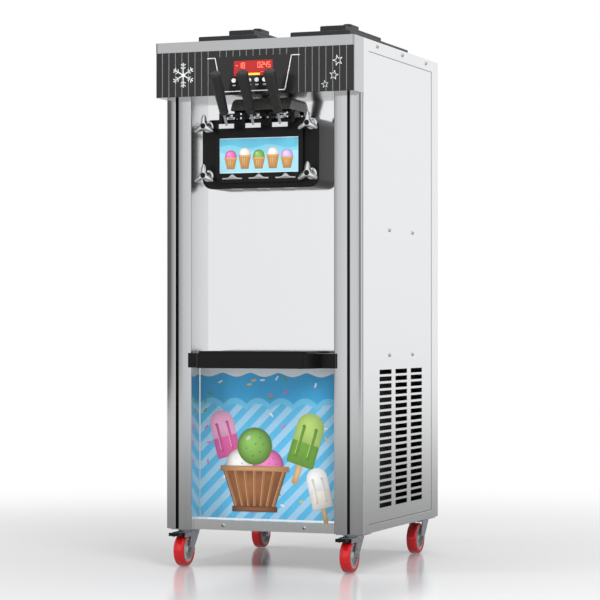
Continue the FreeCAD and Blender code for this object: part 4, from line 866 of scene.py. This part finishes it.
def floor_finish():
    """Grey gloss: it fades to white with distance for the camera, and mirrors see it glow."""
    look = bpy.data.materials.new("studio_floor")
    wires = Wiring(look, clear=True)
    out = wires.add("OutputMaterial")
    ground = wires.add("BsdfPrincipled", {"Base Color": (0.70, 0.70, 0.71, 1), "Roughness": 0.14})
    ground = ground.outputs["BSDF"]
    white_out = wires.add("Emission", {"Color": WHITE}).outputs["Emission"]
    place = wires.add("TexCoord").outputs["Object"]
    away = wires.add("VectorMath", {0: place}, operation="LENGTH").outputs["Value"]
    fade = wires.add("MapRange", {"Value": away, "From Min": 0.2, "From Max": 3.0, "To Min": 0.02,
                                  "To Max": 1.0}, interpolation_type="SMOOTHERSTEP").outputs["Result"]
    path = wires.add("LightPath").outputs
    seen = mix(wires, path["Is Camera Ray"], ground, mix(wires, fade, ground, white_out))
    level = wires.add("MapRange", {"Value": away, "From Min": 0.3, "From Max": 8.0, "To Min": 0.26,
                                   "To Max": 0.80}).outputs["Result"]
    glow = wires.add("Emission", {"Color": WHITE, "Strength": level}).outputs["Emission"]
    wires.feed(out, {"Surface": mix(wires, path["Is Glossy Ray"], seen, glow)})
    return look


span, drop = np.linspace(-12, 12, 25), 0.0004
across, back = np.meshgrid(span, span, indexing="ij")
sheet = np.stack([across, back, np.full_like(across, -drop)], -1)
floor = put("floor", sheet.reshape(-1, 3), lattice(*across.shape))
floor.data.materials.append(floor_finish())

# Light round the room as metal sees it: degrees to the right of the front, and level
SOFTBOXES = ((-180, 0.80), (-125, 0.45), (-85, 0.12), (-55, 0.16), (-38, 0.52), (-24, 0.86),
             (-10, 0.95), (10, 0.92), (26, 0.85), (42, 0.30), (55, 0.25), (70, 0.95), (90, 1.00),
             (112, 0.50), (135, 0.70), (158, 1.0), (180, 0.85))


def studio():
    """White room for the camera, softboxes for mirrors and an even light for all else."""
    world = bpy.data.worlds.new("studio")
    scene.world = world
    wires = Wiring(world, clear=True)
    out = wires.add("OutputWorld")
    path = wires.add("LightPath").outputs
    backdrop = wires.add("Background", {"Color": WHITE, "Strength": 1.0}).outputs["Background"]
    even = wires.add("Background", {"Color": WHITE, "Strength": 0.36}).outputs["Background"]
    seen = wires.add("Math", {0: path["Is Camera Ray"], 1: path["Is Transmission Ray"]},
                     operation="MAXIMUM").outputs["Value"]
    way = wires.add("TexCoord").outputs["Generated"]
    way = wires.add("SeparateXYZ", {"Vector": way}).outputs
    front = wires.add("Math", {0: way["Y"], 1: -1.0}, operation="MULTIPLY").outputs["Value"]
    bearing = wires.add("Math", {0: way["X"], 1: front}, operation="ARCTAN2").outputs["Value"]
    share = wires.add("MapRange", {"Value": bearing, "From Min": -math.pi, "From Max": math.pi})
    ramp = wires.add("ValToRGB", {"Fac": share.outputs["Result"]})
    ramp.color_ramp.interpolation = "EASE"
    stops = ramp.color_ramp.elements
    for angle, _ in SOFTBOXES[1:-1]:
        stops.new((angle + 180) / 360)
    for stop, (_, level) in zip(stops, SOFTBOXES):
        stop.color = (level, level, level * 1.01, 1)
    room = wires.add("Background", {"Color": ramp.outputs["Color"], "Strength": 1.0})
    lighting = mix(wires, path["Is Glossy Ray"], even, room.outputs["Background"])
    wires.feed(out, {"Surface": mix(wires, seen, lighting, backdrop)})


studio()


def lamp(name, at, aim, wide, tall, power):
    """Soft area lamp at a point, turned to face another point."""
    data = bpy.data.lights.new(name, "AREA")
    data.shape = "RECTANGLE"
    data.size, data.size_y, data.energy = wide, tall, power
    ob = bpy.data.objects.new(name, data)
    scene.collection.objects.link(ob)
    ob.location = at
    ob.visible_glossy = False
    ob.rotation_euler = (Vector(aim) - Vector(at)).to_track_quat("-Z", "Y").to_euler()


lamp("key_softbox", (1.9, -2.2, 2.6), (0, 0, 0.7), 1.4, 2.0, 85)
lamp("left_strip", (-2.2, -1.6, 1.4), (0, 0, 0.7), 0.6, 2.4, 40)
lamp("top_softbox", (0.1, 0.2, 3.4), (0, 0, 0.5), 2.2, 2.2, 75)

# Level camera, turned to the machine's right as in the photograph
cam = bpy.data.cameras.new("camera")
cam.sensor_width = 36
cam.lens = 137.5
cam.shift_y = 0.0437
cam_ob = bpy.data.objects.new("camera", cam)
cam_ob.location = (2.10965, -5.19267 + FACE, 0.59664)
cam_ob.rotation_euler = (math.radians(90), 0, math.radians(21.15))
scene.collection.objects.link(cam_ob)
scene.camera = cam_ob
scene.view_settings.view_transform = "Standard"
